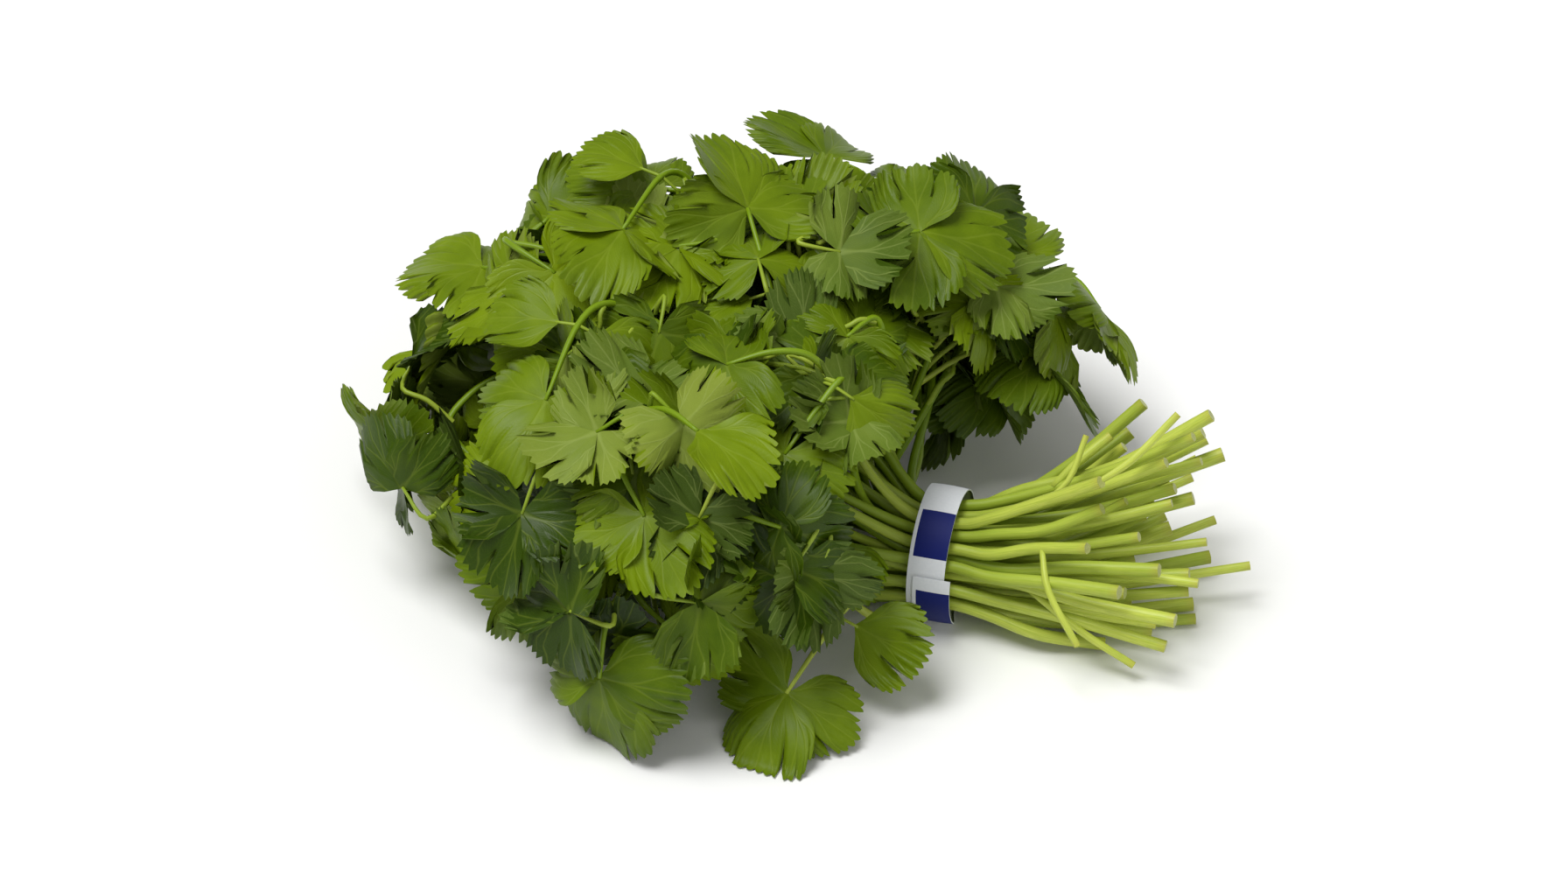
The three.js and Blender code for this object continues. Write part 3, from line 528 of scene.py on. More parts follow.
@dataclass
class Clearing:
    """Pushes blades and stems of different sprays apart until they pass each other clear.

    points holds every stem's points end to end, start and tips where each stem's begin and end in it. a is
    the first point of each straight length, owner and room its spray and the room that it keeps round it.
    """

    sprays: list[Spray]
    start: Array = field(init=False)
    points: Array = field(init=False)
    moves: Array = field(init=False)
    tips: Array = field(init=False)
    owner: Array = field(init=False)
    a: Array = field(init=False)
    room: Array = field(init=False)
    spots: tuple[Array, Array, float] = field(init=False)
    cores: tuple[Array, Array, float] = field(init=False)

    def __post_init__(self) -> None:
        """Lists the points, the straight lengths between them and the blades' spots."""
        self.start = np.cumsum([0] + [len(s.stem) for s in self.sprays])[:-1]
        self.points = np.vstack([s.stem for s in self.sprays])
        self.tips = np.array([a + len(s.stem) - 1 for a, s in zip(self.start, self.sprays)])
        rows = [row for n, spray in enumerate(self.sprays) for row in self.lengths_of(n, spray)]
        self.owner = np.array([r[0] for r in rows])
        self.a = np.array([r[1] for r in rows])
        self.room = np.array([r[2] for r in rows])
        self.spots = self.spots_of(BLADE_SPOTS, BLADE_CLEARANCE)
        self.cores = self.spots_of(BLADE_CORES, CORE_CLEARANCE)

    def lengths_of(self, number: int, spray: Spray) -> list[tuple[int, int, float]]:
        """The straight lengths of a stem outside the tie.

        Args:
            number: The spray's number.
            spray: The spray.

        Returns:
            For each length its spray, the index of its first point, and the room that it keeps round it.
        """
        held, rows = spray.held, []
        for k in range(len(spray.stem) - 1):
            if k == held - 1:
                continue
            # How many points the length's middle is from the tie
            steps = held - 1.5 - k if k < held else k + 0.5 - held
            away = CUT_CLEARANCE if k < held else STEM_CLEARANCE
            more = (away - STEM_CLEARANCE_AT_TIE) * float(smooth(steps / HELD_POINTS))
            rows.append((number, int(self.start[number]) + k, STEM_CLEARANCE_AT_TIE + more))
        return rows

    def spots_of(self, shares: tuple[tuple[float, float], ...], room: float) -> tuple[Array, Array, float]:
        """Spots spread over every blade.

        Args:
            shares: Where the spots are on a blade, along and across it.
            room: The room that each keeps round it.

        Returns:
            Each spot's spray, each spot's step from its spray's tip, and the room.
        """
        owners, steps = [], []
        for n, spray in enumerate(self.sprays):
            for leaflet in spray.blades:
                steps += [leaflet.step(u, v) for u, v in shares]
                owners += [n] * len(shares)
        return np.array(owners), np.array(steps), room

    @staticmethod
    def near(a: Array, b: Array, reach: Array) -> tuple[Array, Array]:
        """The pairs of points nearer than reach: the squared gap is a squared plus b squared less twice ab.

        Args:
            a: The first points.
            b: The second points.
            reach: The reach of each pair.

        Returns:
            The indices of the pairs' first and second points.
        """
        gap = (a * a).sum(1)[:, None] + (b * b).sum(1)[None] - 2 * a @ b.T
        return np.nonzero(gap < reach**2 + NEAR_SLACK)

    def push_length(self, k: Array, share: Array, move: Array) -> None:
        """Adds a move to the two points of each straight length, in proportion to how near each is."""
        np.add.at(self.moves, self.a[k], move * (1 - share)[:, None])
        np.add.at(self.moves, self.a[k] + 1, move * share[:, None])

    def push_blade(self, owners: Array, move: Array) -> None:
        """Adds a move to the tips of the sprays that own the blades."""
        np.add.at(self.moves, self.tips[owners], move * BLADE_PUSH)

    def part_stems(self, p: Array, run: Array, middle: Array, half: Array) -> None:
        """Pushes straight lengths of different stems apart, along the shortest line between the two.

        Args:
            p: Where each length starts.
            run: Each length's run.
            middle: Each length's middle.
            half: Half of each length.
        """
        reach = self.room[:, None] + self.room[None] + half[:, None] + half[None]
        i, j = self.near(middle, middle, reach)
        keep = (i < j) & (self.owner[i] != self.owner[j])
        i, j = i[keep], j[keep]
        u, v, w = run[i], run[j], p[i] - p[j]
        uu, vv, uv = (u * u).sum(1), (v * v).sum(1), (u * v).sum(1)
        uw, vw = (u * w).sum(1), (v * w).sum(1)
        cross = uu * vv - uv * uv
        level = cross > TINY * uu * vv
        s = np.where(level, np.clip((uv * vw - vv * uw) / np.where(level, cross, 1), 0, 1), 0.5)
        t = np.clip((uv * s + vw) / vv, 0, 1)
        s = np.clip((uv * t - uw) / uu, 0, 1)
        apart = w + u * s[:, None] - v * t[:, None]
        room = self.room[i] + self.room[j]
        keep, way, short = self.shortfall(apart, room)
        move = way * (short / 2 * STEM_PUSH)[:, None]
        self.push_length(i[keep], s[keep], move)
        self.push_length(j[keep], t[keep], -move)

    @staticmethod
    def shortfall(apart: Array, room: Array) -> tuple[Array, Array, Array]:
        """Which gaps are under the room, the way to widen each, and how much is missing.

        Args:
            apart: The gaps as vectors.
            room: The room that each should have.

        Returns:
            A mask of the gaps that are too small, and for these the unit way and the missing length.
        """
        distance = np.linalg.norm(apart, axis=1)
        keep = (distance < room) & (distance >= TINY)
        return keep, apart[keep] / distance[keep][:, None], (room - distance)[keep]

    def part_stems_from_blades(
        self, guards: tuple[Array, Array, float], p: Array, run: Array, middle: Array
    ) -> None:
        """Pushes stems and the blades of other sprays apart.

        Args:
            guards: The blades' spots, as spots_of gives them.
            p: Where each straight length starts.
            run: Each length's run.
            middle: Each length's middle.
        """
        owners, steps, room = guards
        places = self.points[self.tips[owners]] + steps
        half = np.linalg.norm(run, axis=1) / 2
        i, j = self.near(middle, places, (self.room + half + room)[:, None])
        keep = self.owner[i] != owners[j]
        i, j = i[keep], j[keep]
        gap = places[j] - p[i]
        share = np.clip((gap * run[i]).sum(1) / (run[i] ** 2).sum(1), 0, 1)
        apart = gap - run[i] * share[:, None]
        keep, way, short = self.shortfall(apart, self.room[i] + room)
        self.push_length(i[keep], share[keep], -way * (short / 2 * STEM_PUSH)[:, None])
        self.push_blade(owners[j[keep]], way * (short / 2)[:, None])

    def part_blades(self) -> None:
        """Pushes the blades of different sprays apart, up from the table and out of the tie."""
        owners, steps, room = self.spots
        places = self.points[self.tips[owners]] + steps
        i, j = self.near(places, places, np.array(2 * room))
        keep = (i < j) & (owners[i] != owners[j])
        i, j = i[keep], j[keep]
        keep, way, short = self.shortfall(places[i] - places[j], np.full(len(i), 2 * room))
        self.push_blade(owners[i[keep]], way * (short / 2)[:, None])
        self.push_blade(owners[j[keep]], way * (-short / 2)[:, None])
        low = np.maximum(0, FLOOR_ROOM - places[:, 2])
        self.push_blade(owners, UPWARD * low[:, None])
        out = np.hypot(places[:, 1], places[:, 2] - TIE_HEIGHT)
        into = TIE_WIDTH / 2 + TIE_SKEW + room - np.abs(places[:, 0])
        into[(into < 0) | (out > TIE_OUTER_RADIUS + room)] = 0
        self.push_blade(owners, np.array([1.0, 0, 0]) * (np.sign(places[:, 0]) * into)[:, None])

    def lift_stems(self, p: Array, run: Array) -> None:
        """Pushes stems up from the table.

        Args:
            p: Where each straight length starts.
            run: Each length's run.
        """
        floor = np.minimum(self.room, FLOOR_ROOM)
        every = np.arange(len(self.a))
        for share, height in ((0.0, p[:, 2]), (1.0, (p + run)[:, 2])):
            low = np.maximum(0, floor - height)
            self.push_length(every, np.full(len(every), share), UPWARD * (low * STEM_PUSH)[:, None])

    def settle(self, share_left: float) -> None:
        """Moves every stem by its pushes: the leaf moves as one, and the stem bends after it.

        Args:
            share_left: The share of the rounds that is still to come, which the pull home fades with.
        """
        for n, spray in enumerate(self.sprays):
            first, tip = int(self.start[n]), int(self.tips[n])
            stem, moves = self.points[first : tip + 1], self.moves[first : tip + 1]
            last, held = len(stem) - 1, spray.held
            whole = self.limited((moves[last] + moves[last - 1])[None])[0] * spray.ease
            whole = whole + (spray.spot - stem[last]) * HOMING * share_left
            k = np.arange(last - 1)
            before, following = moves[np.maximum(0, k - 1)], moves[np.minimum(last - 2, k + 1)]
            bend = OWN_BEND * moves[k] + NEXT_BEND * before + NEXT_BEND * following
            steps = np.where(k < held, held - 1 - k, k - held)
            freedom = np.clip(steps / HELD_POINTS, 0, 1)
            after = (np.maximum(0, k - held) / (last - 1 - held)) ** FOLLOW_POWER
            stem[k] += self.limited(bend) * freedom[:, None] + whole * after[:, None]
            stem[last - 1 :] += whole

    @staticmethod
    def limited(moves: Array) -> Array:
        """The moves with none longer than the most that a round may move a point."""
        length = np.linalg.norm(moves, axis=1, keepdims=True)
        return moves * np.minimum(1, MOST_MOVE / np.maximum(length, TINY))

    def run(self) -> None:
        """Goes through all rounds and gives each spray its cleared stem."""
        for n in range(CLEARING_ROUNDS):
            self.moves = np.zeros_like(self.points)
            p, run = self.points[self.a], self.points[self.a + 1] - self.points[self.a]
            middle, half = p + run / 2, np.linalg.norm(run, axis=1) / 2
            self.part_stems(p, run, middle, half)
            self.part_stems_from_blades(self.cores if n < CORE_ROUNDS else self.spots, p, run, middle)
            self.lift_stems(p, run)
            self.part_blades()
            self.settle(1 - n / CLEARING_ROUNDS)
        for n, spray in enumerate(self.sprays):
            spray.stem = self.points[self.start[n] : self.tips[n] + 1].copy()


@dataclass
class BunchLayout:
    """Lays out every spray: where its leaf is, how its stem runs, and which place it has in the tie."""

    sprays: list[Spray] = field(default_factory=list)

    def posed(self, plan: SprayPlan, index: int, face: Array | None = None) -> Spray:
        """The spray of a plan: a leaf that points out of the head leans back, so that it reaches out.

        Args:
            plan: The spray's plan.
            index: Its number in the bunch.
            face: The way that its upper side looks, where that is fixed.

        Returns:
            The spray.
        """
        spot = seen_at(plan.across, plan.up, plan.height)
        aside, ahead = (between(index * 7 + k, -FACE_STRAY, FACE_STRAY) for k in (1, 2))
        stray = np.array([aside, ahead, FACE_LIFT])
        normal = unit(outward_at(spot) * (1 - plan.face * FACE_TRADE) + TOWARDS * plan.face + stray)
        if face is not None:
            normal = unit(face)
        angle = math.radians(plan.points)
        seen = ACROSS * math.cos(angle) + UP * math.sin(angle)
        if face is None:
            normal = unit(normal - seen * (LEAN_BACK * max(0.0, seen @ normal)))
        direction = unit(seen - normal * (seen @ normal))
        return Spray(spot, direction, normal, plan.size, plan.leaflets, plan.cup, plan.ease)

    def hidden(self, index: int) -> Spray:
        """A spray of the side that the view doesn't show, round the back or under the head.

        Args:
            index: Its number among the hidden ones.

        Returns:
            The spray.
        """
        share = (index * HIDDEN_STEP + HIDDEN_FIRST) % 1
        around = math.radians(HIDDEN_FROM_DEG + HIDDEN_SECTOR_DEG * share)
        x = HIDDEN_FROM_X + HIDDEN_ALONG * ((index + 0.5) / HIDDEN_SPRAYS)
        end = (x - HEAD_CENTRE[0]) / (HEAD_HALF[0] * HIDDEN_NARROWING)
        narrow = math.sqrt(1 - end**2) * HIDDEN_DEPTH
        y = HEAD_HALF[1] * narrow * math.cos(around)
        height = HEAD_CENTRE[2] * (1 + narrow * math.sin(around))
        spot = np.array([x, y, max(HIDDEN_LOWEST, height)])
        normal = outward_at(spot)
        back, aside, down = HIDDEN_OUT
        outward = np.array([back, math.copysign(aside, y), down])
        direction = unit(outward - normal * (outward @ normal))
        return Spray(spot, direction, normal, between(index + 300, *HIDDEN_SIZE), HIDDEN_LEAFLETS)

    def take_slots(self, held: list[Spray]) -> None:
        """Gives each spray the free place in the tie that lies most nearly the way the spray does.

        The places are those of a sunflower's head: the radius grows with the root of the number.

        Args:
            held: The sprays that the tie holds.
        """
        k = np.arange(len(held))
        radius, angle = PACK_RADIUS * np.sqrt((k + 0.5) / len(held)), k * GOLDEN_TURN
        free = [(r * math.cos(a), r * math.sin(a)) for r, a in zip(radius, angle)]
        wanted = [(s.foot - HEAD_CENTRE)[1:] / HEAD_HALF[1:] * PACK_RADIUS for s in held]
        for n in sorted(range(len(held)), key=lambda n: -math.hypot(*wanted[n])):
            y, z = wanted[n]
            best = min(free, key=lambda slot: (slot[0] - y) ** 2 + (slot[1] - z) ** 2)
            free.remove(best)
            held[n].slot = best

    def lay_out(self) -> list[Spray]:
        """Places every spray and clears them of each other.

        Returns:
            The sprays, the loose one last.
        """
        held = [self.posed(plan, n) for n, plan in enumerate(SPRAYS)]
        held += [self.hidden(n) for n in range(HIDDEN_SPRAYS)]
        loose = self.posed(LOOSE_SPRIG, len(held), LOOSE_SPRIG_FACE)
        loose.cut = seen_at(*LOOSE_SPRIG_CUT)
        self.sprays = [*held, loose]
        for n, spray in enumerate(self.sprays):
            spray.set_leaf(n)
        self.take_slots(held)
        for n, spray in enumerate(held):
            spray.stem = np.vstack([spray.cut_side(n), spray.route()])
        loose.stem = loose.route()
        Clearing(self.sprays).run()
        end, after = self.sprays[LONG_STEM].stem[:2].copy()
        self.sprays[LONG_STEM].stem[0] = end + unit(end - after) * LONG_MORE
        LowerLeaves(self.sprays).grow()
        return self.sprays


@dataclass
class LowerLeaves:
    """The smaller leaves that grow lower down on the stems and fill the head between the outer leaves.

    shares says how far along a stem they grow, and more_shares where more grow on a stem whose own leaf is
    past beside_tie. Of the tries, the leaf is taken that keeps furthest from the others, and out of
    from_tie millimetres round the tie. Within bare millimetres of it none grows. depth is how far out in
    the head they reach. turned_over and folded are the shares of leaves that show their underside or are
    folded along the middle. The rest is how each stands on its stem, and its own size.
    """

    sprays: list[Spray]
    shares: tuple[float, ...] = (0.45, 0.66, 0.86)
    more_shares: tuple[float, ...] = (0.55, 0.76, 0.95)
    beside_tie: float = -42.0
    tries: int = 14
    depth: float = 0.88
    least_reach: float = 0.95
    from_tie: float = 76.0
    near_tie_cost: float = 2.0
    bare: float = 52.0
    turned_over: float = 0.12
    folded: float = 0.22
    fold: float = 1.1
    forwards: float = 0.6
    outwards: float = 0.5
    stray_aside: tuple[float, float] = (-1, 1)
    stray_up: tuple[float, float] = (-0.5, 0.9)
    length: tuple[float, float] = (16, 34)
    size: tuple[float, float] = (23, 29)
    leaflets: int = 3
    lowest: float = 9.0
    facing: float = 0.4
    face_stray: float = 0.35
    stalk_arch: float = 2.0

    def grow(self) -> None:
        """Adds leaves to each stem that the tie holds, and more where the leaves stand beside the tie."""
        taken = np.vstack([self.middles(spray) for spray in self.sprays])
        for n, spray in enumerate(self.sprays[:-1]):
            beside = spray.stem[-1][0] > self.beside_tie
            for j, share in enumerate(self.shares + (self.more_shares if beside else ())):
                seed = 2000 + n * 97 + j * 31
                drawn = [self.leaf(spray, share, seed + k * 2) for k in range(self.tries)]
                best = max(drawn, key=lambda leaf: self.gap(leaf, taken))
                if self.tie_gap(best) < self.bare:
                    continue
                spray.lower.append(best)
                taken = np.vstack([taken, self.middles(best)])

    @staticmethod
    def middles(spray: Spray) -> Array:
        """The middles of a leaf's leaflets."""
        return np.array([spray.stem[-1] + leaflet.step(BLADE_MIDDLE, 0) for leaflet in spray.blades])

    def gap(self, leaf: Spray, taken: Array) -> float:
        """How far the leaf keeps from the points that are taken, less a cost where it nears the tie."""
        near = float(np.linalg.norm(self.middles(leaf)[:, None] - taken[None], axis=2).min())
        return near - self.near_tie_cost * max(0.0, self.from_tie - self.tie_gap(leaf))

    @staticmethod
    def tie_gap(leaf: Spray) -> float:
        """How far the leaf is from the tie's middle."""
        return float(np.linalg.norm(leaf.spot - UPWARD * TIE_HEIGHT))

    def leaf(self, spray: Spray, share: float, seed: int) -> Spray:
        """A leaf that leaves the stem forwards and outwards, within the head's rounded outside.

        Args:
            spray: The leafy stem that it grows on.
            share: How far along the stem it starts.
            seed: The number that its draws depend on.

        Returns:
            The leaf, with its stalk as its stem.
        """
        at = spray.held + share * (ROUTE_POINTS - 2)
        k, rest = int(at), at - int(at)
        start = spray.stem[k] * (1 - rest) + spray.stem[k + 1] * rest
        heading = unit(spray.stem[k + 1] - spray.stem[k])
        ranges = (self.stray_aside, self.stray_aside, self.stray_up)
        stray = np.array([between(seed + k, *limits) for k, limits in enumerate(ranges)])
        way = unit(heading * self.forwards + outward_at(start) * self.outwards + stray)
        spot = start + way * between(seed + 3, *self.length)
        reach = self.depth * max(self.least_reach, depth_at(spray.stem[-1]))
        spot = HEAD_CENTRE + (spot - HEAD_CENTRE) * min(1.0, reach / depth_at(spot))
        spot[2] = max(spot[2], self.lowest)
        normal = unit(outward_at(spot) + TOWARDS * self.facing + stray * self.face_stray)
        direction = unit(way - normal * (way @ normal))
        if draw(seed + 5) < self.turned_over:
            normal = -normal
        cup = self.fold if draw(seed + 6) < self.folded else None
        leaf = Spray(spot, direction, normal, between(seed + 4, *self.size), self.leaflets, cup)
        leaf.set_leaf(seed)
        half = (start + leaf.foot) / 2 + UPWARD * self.stalk_arch
        leaf.stem = np.array([start, half, leaf.foot, spot])
        return leaf


class Side(Enum):
    """The material slots of a leafy stem."""

    UPPER = 0
    UNDERSIDE = 1
    STEM = 2
    CUT = 3


class PaperSide(Enum):
    """The material slots of the paper strip."""

    PRINTED = 0
    BACK = 1


@dataclass
class MeshParts:
    """Collects the parts of one mesh: points with their map and tone, and faces with their slot."""

    points: list[Array] = field(default_factory=list)
    faces: list[Array] = field(default_factory=list)
    slots: list[Array] = field(default_factory=list)
    maps: list[Array] = field(default_factory=list)
    tones: list[Array] = field(default_factory=list)
    size: int = 0

    def add(
        self, points: Array, faces: list[tuple[Array, Enum]], place: Array, tone: float = 0.5
    ) -> None:
        """Adds one closed surface.

        Args:
            points: Its points in millimetres.
            faces: Its faces, as arrays of corner indices with a slot each.
            place: The map of each point.
            tone: The tone of all its points: 1 for young green, 0 for grown, and below 0 for painted shade.
        """
        for corners, slot in faces:
            self.faces.append(corners + self.size)
            self.slots.append(np.full(len(corners), slot.value))
        self.points.append(points)
        self.maps.append(place)
        self.tones.append(np.full(len(points), tone))
        self.size += len(points)

    def build(self, name: str) -> bpy.types.Object:
        """Makes the mesh and its object.

        Args:
            name: The piece's name.

        Returns:
            The object, at the origin.
        """
        mesh = bpy.data.meshes.new(name)
        points = np.vstack(self.points) * MM
        mesh.vertices.add(len(points))
        mesh.vertices.foreach_set("co", points.ravel())
        corners = np.concatenate([f.ravel() for f in self.faces])
        lengths = np.concatenate([np.full(len(f), f.shape[1]) for f in self.faces])
        mesh.loops.add(len(corners))
        mesh.loops.foreach_set("vertex_index", corners)
        mesh.polygons.add(len(lengths))
        mesh.polygons.foreach_set("loop_start", np.cumsum(lengths) - lengths)
        mesh.polygons.foreach_set("material_index", np.concatenate(self.slots))
        mesh.polygons.foreach_set("use_smooth", np.ones(len(lengths), bool))
        place = mesh.uv_layers.new(name="place")
        place.data.foreach_set("uv", np.vstack(self.maps)[corners].ravel())
        tone = mesh.attributes.new("tone", "FLOAT", "POINT")
        tone.data.foreach_set("value", np.concatenate(self.tones))
        mesh.update(calc_edges=True)
        self.sharpen(mesh)
        thing = bpy.data.objects.new(name, mesh)
        bpy.context.scene.collection.objects.link(thing)
        return thing

    @staticmethod
    def sharpen(mesh: bpy.types.Mesh) -> None:
        """Makes the edges between faces of different slots sharp, so that a blade's rim stays crisp.

        Args:
            mesh: The mesh.
        """
        slots = np.empty(len(mesh.polygons), np.int32)
        mesh.polygons.foreach_get("material_index", slots)
        totals = np.empty(len(mesh.polygons), np.int32)
        mesh.polygons.foreach_get("loop_total", totals)
        edges = np.empty(len(mesh.loops), np.int32)
        mesh.loops.foreach_get("edge_index", edges)
        per_loop = np.repeat(slots, totals)
        low = np.full(len(mesh.edges), len(Side))
        high = np.full(len(mesh.edges), -1)
        np.minimum.at(low, edges, per_loop)
        np.maximum.at(high, edges, per_loop)
        sharp = mesh.attributes.new("sharp_edge", "BOOLEAN", "EDGE")
        sharp.data.foreach_set("value", low != high)


def grid_faces(rows: int, columns: int, wrap: bool = False) -> Array:
    """The four-cornered faces of a grid of points, numbered along its rows.

    Args:
        rows: The number of rows of points.
        columns: The number of points in a row.
        wrap: Whether the last column joins the first.

    Returns:
        The faces' corner indices.
    """
    i = np.arange(rows - 1)[:, None]
    j = np.arange(columns if wrap else columns - 1)[None]
    k = (j + 1) % columns
    corners = (i * columns + j, i * columns + k, (i + 1) * columns + k, (i + 1) * columns + j)
    return np.stack([np.broadcast_to(c, (rows - 1, j.size)) for c in corners], -1).reshape(-1, 4)


@dataclass
class Blade:
    """The surface of one leaflet: a fan from its foot with lobes, rounded teeth, pleats and a wavy edge.

    Depths of the outline are shares of the leaflet's length. thickness, pleat, rib, ruffle and foot_lap are
    millimetres. The powers say how the rows crowd to the edge, how late they take on its outline, and how
    late the blade thins.
    """

    columns_per_tooth: int = 8
    rows: int = 8
    row_power: float = 0.85
    thickness: float = 0.34
    rim_power: int = 8
    foot_back: float = 0.02
    foot_lap: float = 0.4
    tooth_depth: float = 0.085
    lobe_depth: float = 0.42
    depth_spread: tuple[float, float] = (0.7, 1.25)
    tip_spread: tuple[float, float] = (0.94, 1.04)
    bump_at: float = 0.25
    bump_depth: float = 0.05
    roundness: float = 1.7
    outline_power: float = 1.5
    pleat: float = 0.45
    pleat_fade: float = 1.25
    rib: float = 0.04
    ruffle: float = 2.2
    wide_waves: float = 3.4
    wide_slant: float = 3.0
    fine_share: float = 0.22
    fine_waves: float = 9.0
    fine_slant: float = 4.0
    curl: float = 0.2
    curl_up_share: float = 0.7
    curl_power: int = 4
    side_bulge: float = 0.34

    def outline(self, place: Array, seed: int) -> Array:
        """The edge's distance from the foot, as a share of the leaflet's length.

        Each tooth has two round bumps. Halfway between teeth the edge is cut back to a notch, on a tooth's
        own middle to a shallow one, and from a bump's top to its notch the cut grows by a power of the
        distance.

        Args:
            place: The place along the edge, counted in teeth.
            seed: The number that the teeth's unevenness depends on.

        Returns:
            The distance of the edge.
        """
        off = np.abs(place - np.round(place))
        notch = np.clip(np.floor(place), 0, TEETH - 2).astype(int)
        cut = [self.lobe_depth if k in LOBE_NOTCHES else self.tooth_depth for k in range(TEETH - 1)]
        cut = np.array([depth * between(seed + k * 3, *self.depth_spread) for k, depth in enumerate(cut)])
        from_bump = np.abs(off - self.bump_at) / self.bump_at
        depth = np.where(off > self.bump_at, cut[notch], self.bump_depth) * from_bump**self.roundness
        tips = np.array([between(seed + 40 + k, *self.tip_spread) for k in range(2 * TEETH)])
        reach = np.cos(fan_angle(place)) ** FAN_POWER
        return reach * np.interp(place * 2, np.arange(2 * TEETH), tips) * (1 - depth)

    def rise(self, leaflet: Leaflet, place: Array, s: Array, u: Array, v: Array) -> Array:
        """How far the blade stands over its flat plane.

        To the leaflet's own bend come a fold down each lobe, a small one at each tooth's vein, two waves
        that grow to the edge and slant across the veins, and a curl of the edge with the fourth power of
        the distance from the foot.

        Args:
            leaflet: The leaflet.
            place: The place along the edge, counted in teeth.
            s: The share of the way from the foot to the edge.
            u: Along the leaflet, as a share of its length.
            v: Across it, as a share of its length.

        Returns:
            The rise in millimetres.
        """
        theta = fan_angle(place)
        fold = self.pleat * np.cos(2 * np.pi * (place - 1) / LOBE_TEETH)
        fold = fold + self.rib * np.cos(2 * np.pi * place)
        wide = s**2 * np.sin(self.wide_waves * theta + 2 * leaflet.phase + self.wide_slant * s)
        fine = s**3 * np.sin(self.fine_waves * theta + 3 * leaflet.phase - self.fine_slant * s)
        waves = self.ruffle * (wide + self.fine_share * fine)
        curl = between(leaflet.seed + 60, -self.curl, self.curl * self.curl_up_share) * leaflet.size
        return leaflet.rise(u, v) - fold * s * (self.pleat_fade - s) + waves + curl * s**self.curl_power

    def add_to(self, parts: MeshParts, leaflet: Leaflet, tip: Array, tone: float) -> None:
        """Adds the blade as a thin closed shell: rows go from its foot to its edge, columns across it.

        Args:
            parts: The mesh that it goes into.
            leaflet: The leaflet.
            tip: The spray's tip.
            tone: The leaflet's tone.
        """
        columns = (TEETH - 1) * self.columns_per_tooth + 1
        place = np.linspace(0, TEETH - 1, columns)[None]
        theta = fan_angle(place)
        s = np.linspace(0, 1, self.rows + 1)[1:, None] ** self.row_power
        whole = np.cos(theta) ** FAN_POWER
        radius = s * (whole + (self.outline(place, leaflet.seed) - whole) * s**self.outline_power)
        spread = theta * (1 + self.side_bulge * np.sin(np.pi * s))
        u, v = radius * np.cos(spread) - self.foot_back, radius * np.sin(spread)
        middle = tip + leaflet.base + leaflet.direction * (u * leaflet.size)[..., None]
        middle = middle + leaflet.side * (v * leaflet.size)[..., None]
        middle = middle + leaflet.upper * self.rise(leaflet, place, s, u, v)[..., None]
        middle[..., 2] = np.maximum(middle[..., 2], BLADE_LOWEST)
        inwards = np.sqrt(1 - s**self.rim_power) * (1 - (theta / FAN_HALF) ** self.rim_power)
        lift = leaflet.upper * (self.thickness / 2 * inwards)[..., None]
        foot = tip + leaflet.base - leaflet.direction * self.foot_lap
        points = np.vstack([foot[None], (middle + lift).reshape(-1, 3), (middle - lift).reshape(-1, 3)])
        mapped = np.stack(np.broadcast_arrays(place / (TEETH - 1), s), -1).reshape(-1, 2)
        parts.add(points, self.faces(columns), np.vstack([[[0.5, 0.0]], mapped, mapped]), tone)

    def faces(self, columns: int) -> list[tuple[Array, Side]]:
        """The shell's faces: both sides share the rim's points, and a fan of triangles closes the foot.

        Args:
            columns: The number of columns of points.

        Returns:
            The faces of the upper side and of the underside, with their slots.
        """
        upper = 1 + np.arange(self.rows * columns).reshape(self.rows, columns)
        under = upper + self.rows * columns
        under[-1], under[:, 0], under[:, -1] = upper[-1], upper[:, 0], upper[:, -1]
        quads = grid_faces(self.rows, columns)
        foot = np.zeros(columns - 1, int)
        return [
            (upper.ravel()[quads][:, ::-1], Side.UPPER),
            (np.stack([foot, upper[0, :-1], upper[0, 1:]], -1), Side.UPPER),
            (under.ravel()[quads], Side.UNDERSIDE),
            (np.stack([foot, under[0, 1:], under[0, :-1]], -1), Side.UNDERSIDE),
        ]


